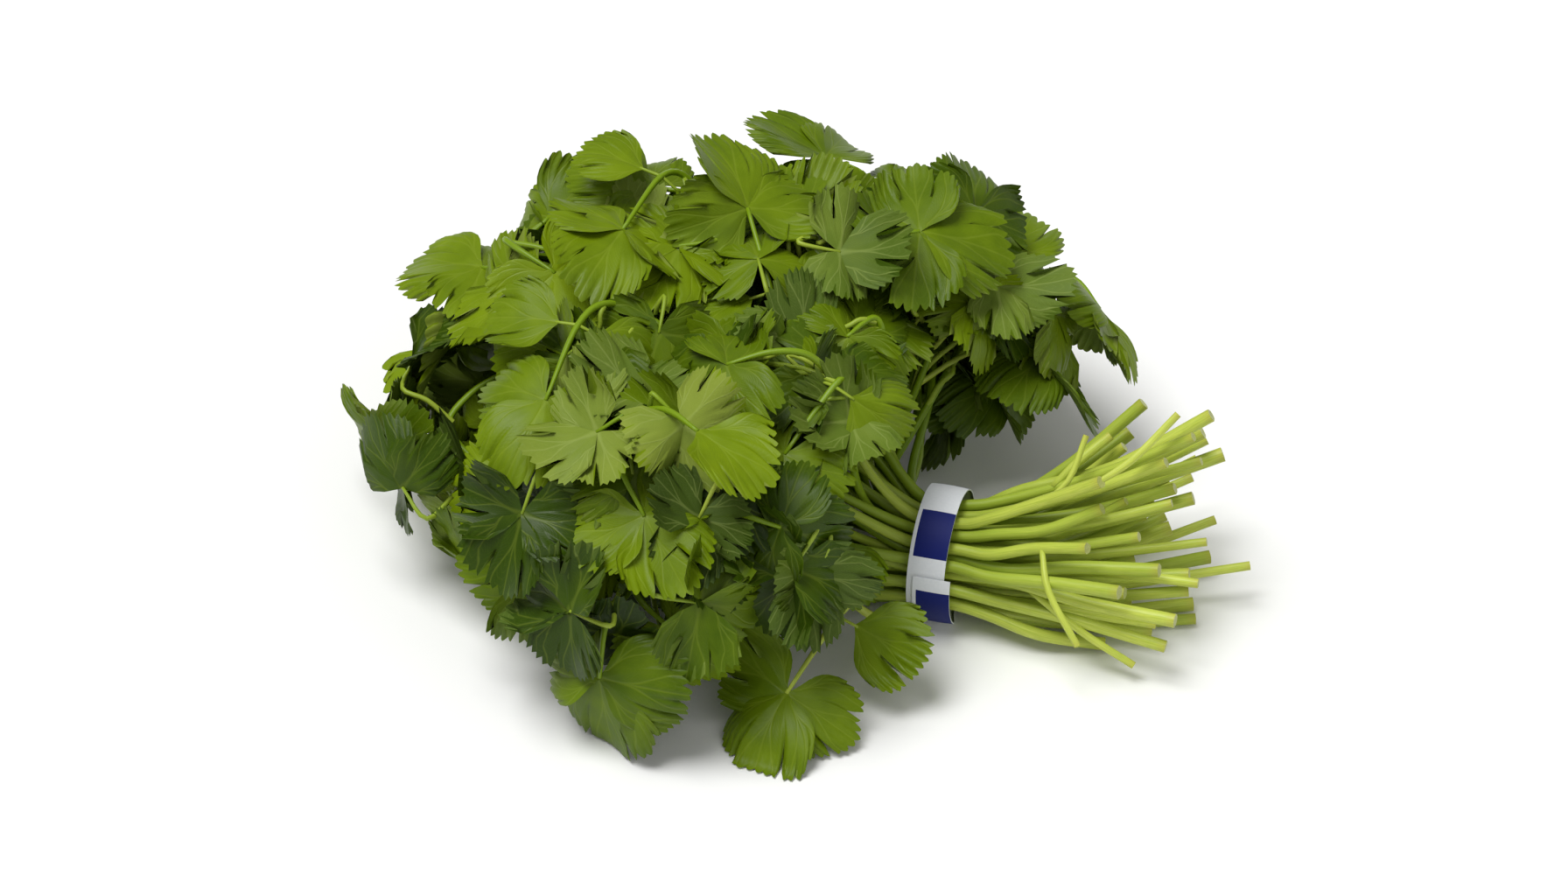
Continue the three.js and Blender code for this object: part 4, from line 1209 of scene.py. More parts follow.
@dataclass
class Stalk:
    """A round stem through a row of points, with faint ribs along it and a low cone closing each end.

    rib is the height of the ribs as a share of the radius. Between them are fewer, broad swells, lower by
    swell_share. The cones stand out by a share of the radius.
    """

    sides: int = 14
    steps: int = 6
    rib: float = 0.06
    ribs: int = 5
    swells: int = 3
    swell_share: float = 0.6
    cut_bulge: float = 0.12
    tip_bulge: float = 0.3

    def curve(self, points: Array, values: Array) -> tuple[Array, Array]:
        """A Catmull-Rom curve through the points, with the values carried along it.

        Args:
            points: The points to pass through.
            values: A value at each point.

        Returns:
            The curve's points and values.
        """
        both = np.hstack([points, values[:, None]])
        ends = np.vstack([2 * both[0] - both[1], both, 2 * both[-1] - both[-2]])
        t = (np.arange(self.steps) / self.steps)[None, :, None]
        a, b, c, d = (ends[k : k + len(both) - 1, None] for k in range(4))
        curve = 2 * b + (c - a) * t + (2 * a - 5 * b + 4 * c - d) * t**2 + (3 * b - a - 3 * c + d) * t**3
        flat = np.vstack([(curve / 2).reshape(-1, 4), both[-1:]])
        return flat[:, :3], flat[:, 3]

    def add_to(
        self, parts: MeshParts, points: Array, radii: Array, tone: float, offset: float = 0.0
    ) -> None:
        """Adds the stem: rings of points square to the curve, whose radius swells a little on each rib.

        Args:
            parts: The mesh that it goes into.
            points: The points that the stem passes through.
            radii: The radius at each point.
            tone: The stem's tone.
            offset: Where the stem's map starts along its length, in millimetres.
        """
        line, radius = self.curve(points, radii)
        heading = unit(np.gradient(line, axis=0))
        across = self.carried(heading)
        other = np.cross(heading, across)
        angle = np.arange(self.sides) / self.sides * 2 * np.pi
        swell = self.swell_share * np.cos(angle * self.swells + 1)
        swell = radius[:, None] * (1 + self.rib * (np.cos(angle * self.ribs) + swell))[None]
        rings = line[:, None] + across[:, None] * (swell * np.cos(angle))[..., None]
        rings = rings + other[:, None] * (swell * np.sin(angle))[..., None]
        rings[..., 2] = np.maximum(rings[..., 2], STEM_LOWEST)
        steps = np.linalg.norm(np.diff(line, axis=0), axis=1)
        along = (offset + np.concatenate([[0], np.cumsum(steps)])) / MAP_STEP
        mapped = np.stack(np.broadcast_arrays(along[:, None], angle[None] / (2 * np.pi)), -1).reshape(-1, 2)
        cut = line[0] + heading[0] * radius[0] * self.cut_bulge
        tip = line[-1] + heading[-1] * radius[-1] * self.tip_bulge
        ends = np.array([[along[0], 0.5], [along[-1], 0.5]])
        points = np.vstack([rings.reshape(-1, 3), cut, tip])
        parts.add(points, self.faces(len(line)), np.vstack([mapped, ends]), tone)

    def faces(self, count: int) -> list[tuple[Array, Side]]:
        """The stem's faces: its round side, and a fan of triangles to the point that closes each end.

        Args:
            count: The number of rings.

        Returns:
            The faces of the side, the cut end and the tip, with their slots.
        """
        ring = np.arange(self.sides)
        after = (ring + 1) % self.sides
        first = np.full(self.sides, count * self.sides)
        last_ring = (count - 1) * self.sides
        return [
            (grid_faces(count, self.sides, wrap=True), Side.STEM),
            (np.stack([first, after, ring], -1), Side.CUT),
            (np.stack([first + 1, last_ring + ring, last_ring + after], -1), Side.STEM),
        ]

    @staticmethod
    def carried(heading: Array) -> Array:
        """A crosswise direction carried along without twist: each is the one before, less its part along.

        Args:
            heading: The curve's unit direction at each point.

        Returns:
            The crosswise direction at each point.
        """
        across = np.empty_like(heading)
        last = CARRIED_FROM
        for k, way in enumerate(heading):
            last = unit(last - way * (way @ last))
            across[k] = last
        return across


@dataclass(frozen=True)
class ShootPlan:
    """A thin side shoot of a cut stem: where it starts, passes and ends, seen from the tie's middle."""

    start: tuple[float, float]
    middle: tuple[float, float]
    end: tuple[float, float]
    lift: float
    radius: float


SHOOTS = (
    ShootPlan((30, 16), (39, 24), (44.5, 38), 1.0, 1.0),
    ShootPlan((31, 3), (33, -10), (42, -27), 3.5, 1.15),
    ShootPlan((34, 20), (42, 28), (52, 36), 1.0, 1.5),
    ShootPlan((46, 22), (58, 30), (72, 44), 1.0, 1.2),
    ShootPlan((28, -14), (44, -27), (61, -38), 1.0, 1.2),
)


@dataclass
class SideShoots:
    """The thin shoots among the cut stems, each grown on the stem that lies under its start.

    samples is the number of spots looked at on each straight length of stem. A stem higher in the bunch,
    and so nearer to the view, is preferred by that share of its distance.
    """

    sprays: list[Spray]
    samples: int = 9
    preferred: float = 0.15
    taper: tuple[float, ...] = (1.0, 1.0, 0.8)
    floor_gap: float = 0.3

    def on(self, number: int) -> list[tuple[Array, Array]]:
        """The shoots of one stem.

        Args:
            number: The stem's number, from 0.

        Returns:
            Each shoot's points and radii.
        """
        shoots = []
        for plan in SHOOTS:
            owner, root = self.root(plan)
            if owner != number:
                continue
            points = [root]
            for place in (plan.middle, plan.end):
                across, up = np.subtract(place, plan.start)
                points.append(root + ACROSS * across + UP * up + TOWARDS * plan.lift)
            points = np.array(points)
            points[:, 2] = np.maximum(points[:, 2], plan.radius + self.floor_gap)
            shoots.append((points[::-1], plan.radius * np.array(self.taper)))
        return shoots

    def root(self, plan: ShootPlan) -> tuple[int, Array]:
        """The stem that lies nearest under a shoot's start, and the point on it.

        Args:
            plan: The shoot's plan.

        Returns:
            The stem's number and the point.
        """
        best = (math.inf, 0, np.zeros(3))
        for n, spray in enumerate(self.sprays[:-1]):
            for a, b in zip(spray.stem[: spray.held - 1], spray.stem[1 : spray.held]):
                spots = a + (b - a) * np.linspace(0, 1, self.samples)[:, None]
                seen = np.stack([spots @ ACROSS, (spots - UPWARD * TIE_HEIGHT) @ UP], -1)
                off = np.linalg.norm(seen - np.array(plan.start), axis=1)
                off = off - self.preferred * (spots @ TOWARDS)
                k = int(off.argmin())
                if off[k] < best[0]:
                    best = (float(off[k]), n, spots[k])
        return best[1], best[2]


@dataclass
class LeafyStem:
    """One finished leafy stem: its stem from the cut end, its rachis, and the leaflets with their stalks.

    Lower leaves are many, so their blades have few faces. In the head a stem is slimmer than its solid, by
    slimming, and its tip by tip_share as well.
    """

    spray: Spray
    number: int
    shoots: list[tuple[Array, Array]]
    slimming: float = 0.82
    tip_share: float = 0.8
    blade: Blade = field(default_factory=Blade)
    lower_blade: Blade = field(default_factory=lambda: Blade(columns_per_tooth=4, rows=3))
    stalk: Stalk = field(default_factory=Stalk)
    small_stalk: Stalk = field(default_factory=lambda: Stalk(sides=8, steps=4))

    def radii(self) -> Array:
        """The radius at each point: thick at the cut end, slimmer to the tie, and slimmest at the leaf.

        Returns:
            The radii in millimetres.
        """
        held = self.spray.held
        k = np.arange(len(self.spray.stem))
        share = np.clip((k - held) / (ROUTE_POINTS - 2), 0, 1)
        radius = STEM_RADIUS + (RACHIS_RADIUS - STEM_RADIUS) * share
        if held:
            cut = CUT_RADIUS * between(self.number + 800, *CUT_SLIMMING)
            if self.number == LONG_STEM + 1:
                cut = LONG_RADIUS
            radius[: held - 1] = STEM_RADIUS + (cut - STEM_RADIUS) * np.array(CUT_STATIONS)
        radius[-1] = TIP_RADIUS * self.tip_share
        return radius * np.where(k > held, self.slimming, 1.0)

    def bent(self) -> Array:
        """The stem's points, the cut side's middle ones moved a little so that no two stems bend alike.

        Returns:
            The points.
        """
        points = self.spray.stem.copy()
        for k in range(1, self.spray.held - 1):
            seed = self.number * 7 + k * 3 + 600
            points[k] += np.array([between(seed + axis, -CUT_BEND, CUT_BEND) for axis in range(3)])
        return points

    def build(self) -> bpy.types.Object:
        """Builds the piece and lets it stand for its solid.

        Returns:
            The piece.
        """
        parts = MeshParts()
        own = draw(self.number + 900)
        self.stalk.add_to(parts, self.bent(), self.radii(), own)
        # Painted shade: leaves that the tie holds low and close beside it are given a deeper green, for the
        # shade that falls there
        beside = float(smooth((self.spray.stem[-1][0] - BESIDE_FROM) / BESIDE_RAMP))
        tone = own - BESIDE_PAINTED_SHADE * beside if self.spray.held else own
        for points, radii in self.shoots:
            self.small_stalk.add_to(parts, points, radii, tone * SHOOT_TONE)
        self.add_leaf(parts, self.spray, self.blade, tone)
        for leaf in self.spray.lower:
            self.small_stalk.add_to(parts, leaf.stem, LOWER_STALK_RADII, tone, LEAF_STALK_FROM)
            # Painted shade: lower leaves deep inside the head are given a deeper green, for the shade that
            # falls there
            inside = 1 - float(smooth((depth_at(leaf.spot) - SHADED_TO) / (LIT_FROM - SHADED_TO)))
            shade = tone + LOWER_SPREAD * (draw(self.number + 31 * len(parts.points)) - 0.5)
            self.add_leaf(parts, leaf, self.lower_blade, shade - LOWER_PAINTED_SHADE * inside)
        piece = parts.build(f"{self.node()}_fresh")
        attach(piece, "root")
        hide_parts(self.node())
        return piece

    def add_leaf(self, parts: MeshParts, leaf: Spray, blade: Blade, tone: float) -> None:
        """Adds a leaf's blades and the stalks of its lower leaflets.

        Args:
            parts: The mesh that they go into.
            leaf: The leaf.
            blade: How its blades are made.
            tone: The leaf's tone, which each leaflet's differs a little from.
        """
        tip = leaf.stem[-1]
        for leaflet in leaf.blades:
            own = LEAF_SHARE * tone + (1 - LEAF_SHARE) * draw(leaflet.seed + 950)
            blade.add_to(parts, leaflet, tip, own)
            if leaflet.stalk:
                ends = np.array([tip + leaflet.root, tip + leaflet.base + leaflet.direction])
                self.small_stalk.add_to(parts, ends, PETIOLULE_RADII, tone, LEAF_STALK_FROM)

    def node(self) -> str:
        """The name of the solid that holds this stem."""
        return f"leafy_stem_{self.number:02d}"


@dataclass
class PaperTie:
    """The paper strip wound once round the stems, its outer end lapped over its inner one.

    It is as thick as it has to be to show, and its edges lie closer to the stems than its middle, by bow.
    """

    steps: int = 200
    rows: int = 9
    thickness: float = 0.45
    bow: float = 0.25

    def build(self) -> bpy.types.Object:
        """Builds the strip: a spiral whose radius steps out at the lap, flat where it lies on the table.

        Returns:
            The piece.
        """
        turn = np.linspace(0, TIE_TURN_DEG, self.steps + 1)[:, None]
        angle = np.radians(180 - (TIE_START_DEG + turn))
        lap = smooth((turn - TIE_LAP_FROM_DEG) / (TIE_LAP_FULL_DEG - TIE_LAP_FROM_DEG))
        inner = TIE_INNER_RADIUS + (TIE_THICK + TIE_LAP_GAP) * lap + (TIE_THICK - self.thickness)
        across = np.linspace(-1, 1, self.rows)[None]
        bow = self.bow * (1 - across**2)
        layers = []
        for lift in (0.0, self.thickness):
            radius = inner + lift + bow - self.bow
            x = across * TIE_WIDTH / 2 + TIE_SKEW * lap
            y, z = radius * np.cos(angle), TIE_HEIGHT + radius * np.sin(angle)
            z = np.maximum(z, self.thickness - lift)
            layers.append(np.stack(np.broadcast_arrays(x, y, z), -1).reshape(-1, 3))
        mapped = np.stack(np.broadcast_arrays(turn / TIE_TURN_DEG, (across + 1) / 2), -1).reshape(-1, 2)
        parts = MeshParts()
        parts.add(np.vstack(layers), self.faces(), np.vstack([mapped, mapped]))
        piece = parts.build("paper_tie")
        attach(piece, "root")
        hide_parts("tie")
        return piece

    def faces(self) -> list[tuple[Array, PaperSide]]:
        """The strip's faces: its inner and outer side, and a wall that joins them all round.

        Returns:
            The faces of the inner side, the outer side and the wall, with their slots.
        """
        rows, columns = self.steps + 1, self.rows
        number = np.arange(rows * columns).reshape(rows, columns)
        quads = grid_faces(rows, columns)
        rim = np.concatenate([number[:, 0], number[-1, 1:], number[:-1, -1][::-1], number[0, 1:-1][::-1]])
        after = np.roll(rim, -1)
        shift = rows * columns
        wall = np.stack([rim, after, after + shift, rim + shift], -1)
        return [
            (quads, PaperSide.BACK),
            ((quads + shift)[:, ::-1], PaperSide.PRINTED),
            (wall[:, ::-1], PaperSide.BACK),
        ]


def linear(code: str) -> tuple[float, float, float, float]:
    """An sRGB hex colour as linear light: below 0.04045 divided by 12.92, above it by the 2.4 power.

    Args:
        code: The colour, such as "8fa52a".

    Returns:
        Linear red, green and blue, and full alpha.
    """
    parts = [int(code[k : k + 2], 16) / 255 for k in (0, 2, 4)]
    lit = [p / 12.92 if p <= 0.04045 else ((p + 0.055) / 1.055) ** 2.4 for p in parts]
    return lit[0], lit[1], lit[2], 1.0


def noise_scale(size: float) -> float:
    """The scale of a noise on Object coordinates whose grains are that many millimetres across."""
    return 1 / (size * MM)


def add(
    tree: bpy.types.NodeTree, kind: str, links: dict | None = None, **settings: object
) -> bpy.types.Node:
    """Adds a node with its settings, values and links.

    Args:
        tree: The material's node tree.
        kind: The node's type.
        links: For each input, by name or number, the socket that feeds it or its value.
        **settings: The node's own settings.

    Returns:
        The node.
    """
    node = tree.nodes.new(kind)
    for name, value in settings.items():
        setattr(node, name, value)
    for name, value in (links or {}).items():
        if isinstance(value, bpy.types.NodeSocket):
            tree.links.new(value, node.inputs[name])
        else:
            node.inputs[name].default_value = value
    return node


def blank(name: str) -> tuple[bpy.types.Material, bpy.types.NodeTree, bpy.types.Node]:
    """A new material with only its output.

    Args:
        name: The material's name.

    Returns:
        The material, its node tree and its output node.
    """
    material = bpy.data.materials.new(name)
    material.use_nodes = True
    tree = material.node_tree
    tree.nodes.clear()
    return material, tree, tree.nodes.new("ShaderNodeOutputMaterial")


@dataclass(frozen=True)
class LeafFinish:
    """Fresh coriander leaf: a thin soft blade, slightly waxy, with fan veins, that lets light through.

    patch_size and cell_size are millimetres, and so is relief, which is how far cells and veins stand out.
    The two ranges of tone are those over which the green turns young, and over which painted shade turns it
    to the shaded green. fork and the widths of veins are shares of the leaflet's map.
    """

    name: str
    young: str
    grown: str
    shaded: str
    vein: str
    through: str
    roughness: float
    vein_share: float
    relief: float
    gloss: float
    translucency: float = 0.16
    through_share: float = 0.55
    ior: float = 1.42
    patch_size: float = 12.5
    patch_weight: float = 0.9
    patch_range: tuple[float, float] = (0.3, 0.7)
    patch_roughness: tuple[float, float] = (-0.07, 0.08)
    young_range: tuple[float, float] = (0.25, 1.25)
    shaded_range: tuple[float, float] = (-0.5, 0.15)
    most_shaded: float = 0.9
    cell_size: float = 0.625
    cell_weight: float = 0.2
    bump_strength: float = 0.45
    fork: tuple[float, float] = (0.18, 0.95)
    vein_width: float = 0.075
    barbs: float = 11.0
    barb_lean: float = -4.0
    barb_width: float = 0.2
    barb_share: float = 0.22

    def material(self) -> bpy.types.Material:
        """Builds the material.

        Patches of deeper and younger green, pale veins, and fine cells in the skin. Light that comes
        through is yellower than light that is thrown back.

        Returns:
            The material.
        """
        material, tree, output = blank(self.name)
        place = add(tree, "ShaderNodeUVMap", uv_map="place")
        split = add(tree, "ShaderNodeSeparateXYZ", {0: place.outputs[0]})
        veins = self.veins(tree, split.outputs[0], split.outputs[1])
        coords = add(tree, "ShaderNodeTexCoord")
        patch = {"Vector": coords.outputs["Object"], "Scale": noise_scale(self.patch_size), "Detail": 3.0}
        patches = add(tree, "ShaderNodeTexNoise", patch)
        colour = self.colour(tree, patches.outputs[0], veins)
        # Cells of the blade's skin, drawn coarser than they are so that they show
        cell = {"Vector": coords.outputs["Object"], "Scale": noise_scale(self.cell_size), "Detail": 2.0}
        cells = add(tree, "ShaderNodeTexNoise", cell)
        both = {0: cells.outputs[0], 1: self.cell_weight, 2: veins}
        height = add(tree, "ShaderNodeMath", both, operation="MULTIPLY_ADD")
        raised = {"Strength": self.bump_strength, "Distance": self.relief * MM, "Height": height.outputs[0]}
        bump = add(tree, "ShaderNodeBump", raised)
        low, high = self.patch_range
        waxy, dull = (self.roughness + more for more in self.patch_roughness)
        rough = add(tree, "ShaderNodeMapRange", {0: patches.outputs[0], 1: low, 2: high, 3: waxy, 4: dull})
        skin = add(
            tree,
            "ShaderNodeBsdfPrincipled",
            {
                "Base Color": colour,
                "Roughness": rough.outputs[0],
                "Normal": bump.outputs[0],
                "IOR": self.ior,
                "Specular IOR Level": self.gloss,
            },
        )
        yellower = {0: self.through_share, 6: colour, 7: linear(self.through)}
        glow = add(tree, "ShaderNodeMix", yellower, data_type="RGBA")
        shone = {"Color": glow.outputs[2], "Normal": bump.outputs[0]}
        through = add(tree, "ShaderNodeBsdfTranslucent", shone)
        shares = {0: self.translucency, 1: skin.outputs[0], 2: through.outputs[0]}
        leaf = add(tree, "ShaderNodeMixShader", shares)
        tree.links.new(leaf.outputs[0], output.inputs[0])
        return material

    def colour(
        self, tree: bpy.types.NodeTree, patches: bpy.types.NodeSocket, veins: bpy.types.NodeSocket
    ) -> bpy.types.NodeSocket:
        """The leaf's colour: patches and tone mix grown to young green, and a low tone paints shade over
        it, a deeper green.

        Args:
            tree: The material's node tree.
            patches: The noise of the patches.
            veins: How much of a vein there is.

        Returns:
            The colour.
        """
        tone = add(tree, "ShaderNodeAttribute", attribute_name="tone")
        patchy = {0: patches, 1: self.patch_weight, 2: tone.outputs["Fac"]}
        mixed = add(tree, "ShaderNodeMath", patchy, operation="MULTIPLY_ADD")
        low, high = self.young_range
        shade = add(tree, "ShaderNodeMapRange", {0: mixed.outputs[0], 1: low, 2: high, 3: 0.0, 4: 1.0})
        lively = {0: shade.outputs[0], 6: linear(self.grown), 7: linear(self.young)}
        body = add(tree, "ShaderNodeMix", lively, data_type="RGBA")
        # Painted shade: a low tone, given to leaves inside the bunch and beside the tie, mixes in the
        # deeper shaded green
        low, high = self.shaded_range
        fall = {0: tone.outputs["Fac"], 1: low, 2: high, 3: self.most_shaded, 4: 0.0}
        inside = add(tree, "ShaderNodeMapRange", fall)
        deep = {0: inside.outputs[0], 6: body.outputs[2], 7: linear(self.shaded)}
        green = add(tree, "ShaderNodeMix", deep, data_type="RGBA")
        amount = add(tree, "ShaderNodeMath", {0: veins, 1: self.vein_share}, operation="MULTIPLY")
        veined = {0: amount.outputs[0], 6: green.outputs[2], 7: linear(self.vein)}
        return add(tree, "ShaderNodeMix", veined, data_type="RGBA").outputs[2]

    def veins(
        self, tree: bpy.types.NodeTree, across: bpy.types.NodeSocket, along: bpy.types.NodeSocket
    ) -> bpy.types.NodeSocket:
        """The leaflet's veins, from its map.

        A main vein runs to the middle of each lobe, and at a fifth of the way forks to the lobe's other
        teeth. Fine veins leave these forwards, like the barbs of a feather.

        Args:
            tree: The material's node tree.
            across: The map's crosswise place.
            along: The map's place from foot to edge.

        Returns:
            How much of a vein there is, for colour and relief.
        """
        # Teeth counted from the first lobe's middle one
        counted = {0: across, 1: TEETH - 1.0, 2: -1.0}
        teeth = add(tree, "ShaderNodeMath", counted, operation="MULTIPLY_ADD")
        lobe = add(tree, "ShaderNodeMath", {0: teeth.outputs[0], 1: LOBE_TEETH / 2}, operation="PINGPONG")
        start, end = self.fork
        forked = {0: along, 1: start, 2: end, 3: 0.0, 4: 1.0}
        fork = add(tree, "ShaderNodeMapRange", forked, interpolation_type="SMOOTHSTEP")
        beside = add(tree, "ShaderNodeMath", {0: lobe.outputs[0], 1: fork.outputs[0]}, operation="SUBTRACT")
        side = add(tree, "ShaderNodeMath", {0: beside.outputs[0]}, operation="ABSOLUTE")
        near = add(tree, "ShaderNodeMath", {0: lobe.outputs[0], 1: side.outputs[0]}, operation="MINIMUM")
        wide = add(tree, "ShaderNodeMath", {0: near.outputs[0], 1: along}, operation="MULTIPLY")
        line = {0: wide.outputs[0], 1: 0.0, 2: self.vein_width, 3: 1.0, 4: 0.0}
        main = add(tree, "ShaderNodeMapRange", line, interpolation_type="SMOOTHSTEP")
        lean = add(tree, "ShaderNodeMath", {0: near.outputs[0], 1: self.barb_lean}, operation="MULTIPLY")
        slanted = {0: along, 1: self.barbs, 2: lean.outputs[0]}
        barb = add(tree, "ShaderNodeMath", slanted, operation="MULTIPLY_ADD")
        stripe = add(tree, "ShaderNodeMath", {0: barb.outputs[0], 1: 0.5}, operation="PINGPONG")
        fine_line = {0: stripe.outputs[0], 1: 0.0, 2: self.barb_width, 3: self.barb_share, 4: 0.0}
        fine = add(tree, "ShaderNodeMapRange", fine_line, interpolation_type="SMOOTHSTEP")
        both = add(tree, "ShaderNodeMath", {0: main.outputs[0], 1: fine.outputs[0]}, operation="MAXIMUM")
        return both.outputs[0]


@dataclass(frozen=True)
class StemFinish:
    """Fresh coriander stem: smooth and juicy, pale at the cut end, greener to the leaf, with fine streaks.

    Lengths, sizes and depths are millimetres. green_range is the stretch of the stem over which it turns
    green, and tone_weight how much its own tone adds to that.
    """

    name: str = "coriander_stem"
    pale: str = "cbd55c"
    green: str = "6f8c0a"
    streak: str = "7f9a1c"
    dry: str = "a08238"
    green_range: tuple[float, float] = (25.0, 170.0)
    tone_weight: float = 0.55
    streak_length: float = 8.93
    streak_width: float = 0.4418
    streak_range: tuple[float, float] = (0.35, 0.7)
    streak_share: float = 0.5
    dried_length: float = 3.5
    dried_share: float = 0.55
    relief: float = 0.12
    bump_strength: float = 0.35
    roughness: float = 0.38
    ior: float = 1.4
    gloss: float = 0.4
    juice: float = 0.08
    juice_depth: tuple[float, float, float] = (0.8, 1.0, 0.2)

    def material(self) -> bpy.types.Material:
        """Builds the material: the map's lengthwise place mixes pale to green, and streaks run along it.

        Returns:
            The material.
        """
        material, tree, output = blank(self.name)
        place = add(tree, "ShaderNodeUVMap", uv_map="place")
        split = add(tree, "ShaderNodeSeparateXYZ", {0: place.outputs[0]})
        tone = add(tree, "ShaderNodeAttribute", attribute_name="tone")
        start, end = (length / MAP_STEP for length in self.green_range)
        along = add(tree, "ShaderNodeMapRange", {0: split.outputs[0], 1: start, 2: end, 3: 0.0, 4: 1.0})
        toned = {0: tone.outputs["Fac"], 1: self.tone_weight, 2: along.outputs[0]}
        shifted = add(tree, "ShaderNodeMath", toned, operation="MULTIPLY_ADD")
        greener = {0: shifted.outputs[0], 6: linear(self.pale), 7: linear(self.green)}
        body = add(tree, "ShaderNodeMix", greener, data_type="RGBA")
        # The map goes once round the stem, so streaks are scaled by the stem's girth and by the map's step
        girth = 2 * math.pi * STEM_RADIUS
        scale = (MAP_STEP / self.streak_length, girth / self.streak_width, 1.0)
        stretch = add(tree, "ShaderNodeMapping", {"Vector": place.outputs[0], "Scale": scale})
        grain = {"Vector": stretch.outputs[0], "Scale": 1.0, "Detail": 4.0}
        streaks = add(tree, "ShaderNodeTexNoise", grain)
        low, high = self.streak_range
        band = {0: streaks.outputs[0], 1: low, 2: high, 3: 0.0, 4: self.streak_share}
        banded = add(tree, "ShaderNodeMapRange", band)
        streaked = {0: banded.outputs[0], 6: body.outputs[2], 7: linear(self.streak)}
        striped = add(tree, "ShaderNodeMix", streaked, data_type="RGBA")
        # The last millimetres before the cut are a little dried
        drying = {0: split.outputs[0], 1: 0.0, 2: self.dried_length / MAP_STEP, 3: self.dried_share, 4: 0.0}
        dried = add(tree, "ShaderNodeMapRange", drying)
        spotted = {0: dried.outputs[0], 1: streaks.outputs[0]}
        spots = add(tree, "ShaderNodeMath", spotted, operation="MULTIPLY")
        browned = {0: spots.outputs[0], 6: striped.outputs[2], 7: linear(self.dry)}
        colour = add(tree, "ShaderNodeMix", browned, data_type="RGBA")
        depth = self.relief * MM
        raised = {"Strength": self.bump_strength, "Distance": depth, "Height": streaks.outputs[0]}
        bump = add(tree, "ShaderNodeBump", raised)
        skin = add(
            tree,
            "ShaderNodeBsdfPrincipled",
            {
                "Base Color": colour.outputs[2],
                "Roughness": self.roughness,
                "Normal": bump.outputs[0],
                "IOR": self.ior,
                "Specular IOR Level": self.gloss,
                "Subsurface Weight": self.juice,
                "Subsurface Radius": tuple(depth * MM for depth in self.juice_depth),
            },
        )
        tree.links.new(skin.outputs[0], output.inputs[0])
        return material


@dataclass(frozen=True)
class CutFinish:
    """The cut end of a stem: wet pith speckled with fine vessels, drawn half a millimetre wide."""

    name: str = "coriander_cut_end"
    pith: str = "c2cb7c"
    rim: str = "8f913c"
    vessel_size: float = 0.5263
    roughness: float = 0.45

    def material(self) -> bpy.types.Material:
        """Builds the material: fine speckles as large as the vessels mix pith and rim colour.

        Returns:
            The material.
        """
        material, tree, output = blank(self.name)
        coords = add(tree, "ShaderNodeTexCoord")
        vessel = {"Vector": coords.outputs["Object"], "Scale": noise_scale(self.vessel_size), "Detail": 2.0}
        grain = add(tree, "ShaderNodeTexNoise", vessel)
        speckled = {0: grain.outputs[0], 6: linear(self.pith), 7: linear(self.rim)}
        mixed = add(tree, "ShaderNodeMix", speckled, data_type="RGBA")
        pith = {"Base Color": mixed.outputs[2], "Roughness": self.roughness}
        skin = add(tree, "ShaderNodeBsdfPrincipled", pith)
        tree.links.new(skin.outputs[0], output.inputs[0])
        return material


@dataclass(frozen=True)
class PaperFinish:
    """Coated paper printed with plain dark blue blocks: smooth, a little glossy, with faint fibres.

    blocks gives where each block starts and ends, in degrees of the strip's turn. margin is the share of
    the strip's width that stays white along one edge.
    """

    name: str = "coated_paper"
    white: str = "e4e7ea"
    grey: str = "c4cad0"
    ink: str = "0b1a66"
    blocks: tuple[tuple[float, float], ...] = ((72, 115), (165, 205), (255, 295), (347, 403))
    margin: float = 0.1
    printed: bool = True
    fibre_size: float = 0.8333
    fibre_range: tuple[float, float] = (0.3, 0.8)
    fibre_share: float = 0.25
    relief: float = 0.08
    bump_strength: float = 0.3
    roughness: float = 0.55
    gloss: float = 0.22

    def material(self) -> bpy.types.Material:
        """Builds the material: a block is where the map's lengthwise place lies between its two ends.

        Returns:
            The material.
        """
        material, tree, output = blank(self.name)
        place = add(tree, "ShaderNodeUVMap", uv_map="place")
        split = add(tree, "ShaderNodeSeparateXYZ", {0: place.outputs[0]})
        inked: bpy.types.NodeSocket | float = 0.0
        for low, high in self.blocks if self.printed else ():
            middle, half = (low + high) / 2 / TIE_TURN_DEG, (high - low) / 2 / TIE_TURN_DEG
            within = {0: split.outputs[0], 1: middle, 2: half}
            block = add(tree, "ShaderNodeMath", within, operation="COMPARE")
            inked = add(tree, "ShaderNodeMath", {0: block.outputs[0], 1: inked}, operation="ADD").outputs[0]
        edge = add(tree, "ShaderNodeMath", {0: split.outputs[1], 1: self.margin}, operation="GREATER_THAN")
        ink = add(tree, "ShaderNodeMath", {0: inked, 1: edge.outputs[0]}, operation="MULTIPLY")
        coords = add(tree, "ShaderNodeTexCoord")
        # Paper fibres, drawn longer than they are so that they show
        fibre = {"Vector": coords.outputs["Object"], "Scale": noise_scale(self.fibre_size), "Detail": 4.0}
        fibres = add(tree, "ShaderNodeTexNoise", fibre)
        low, high = self.fibre_range
        soiled = {0: fibres.outputs[0], 1: low, 2: high, 3: 0.0, 4: self.fibre_share}
        soil = add(tree, "ShaderNodeMapRange", soiled)
        greyed = {0: soil.outputs[0], 6: linear(self.white), 7: linear(self.grey)}
        paper = add(tree, "ShaderNodeMix", greyed, data_type="RGBA")
        printed = {0: ink.outputs[0], 6: paper.outputs[2], 7: linear(self.ink)}
        colour = add(tree, "ShaderNodeMix", printed, data_type="RGBA")
        raised = {"Strength": self.bump_strength, "Distance": self.relief * MM, "Height": fibres.outputs[0]}
        bump = add(tree, "ShaderNodeBump", raised)
        skin = add(
            tree,
            "ShaderNodeBsdfPrincipled",
            {
                "Base Color": colour.outputs[2],
                "Roughness": self.roughness,
                "Normal": bump.outputs[0],
                "Specular IOR Level": self.gloss,
            },
        )
        tree.links.new(skin.outputs[0], output.inputs[0])
        return material


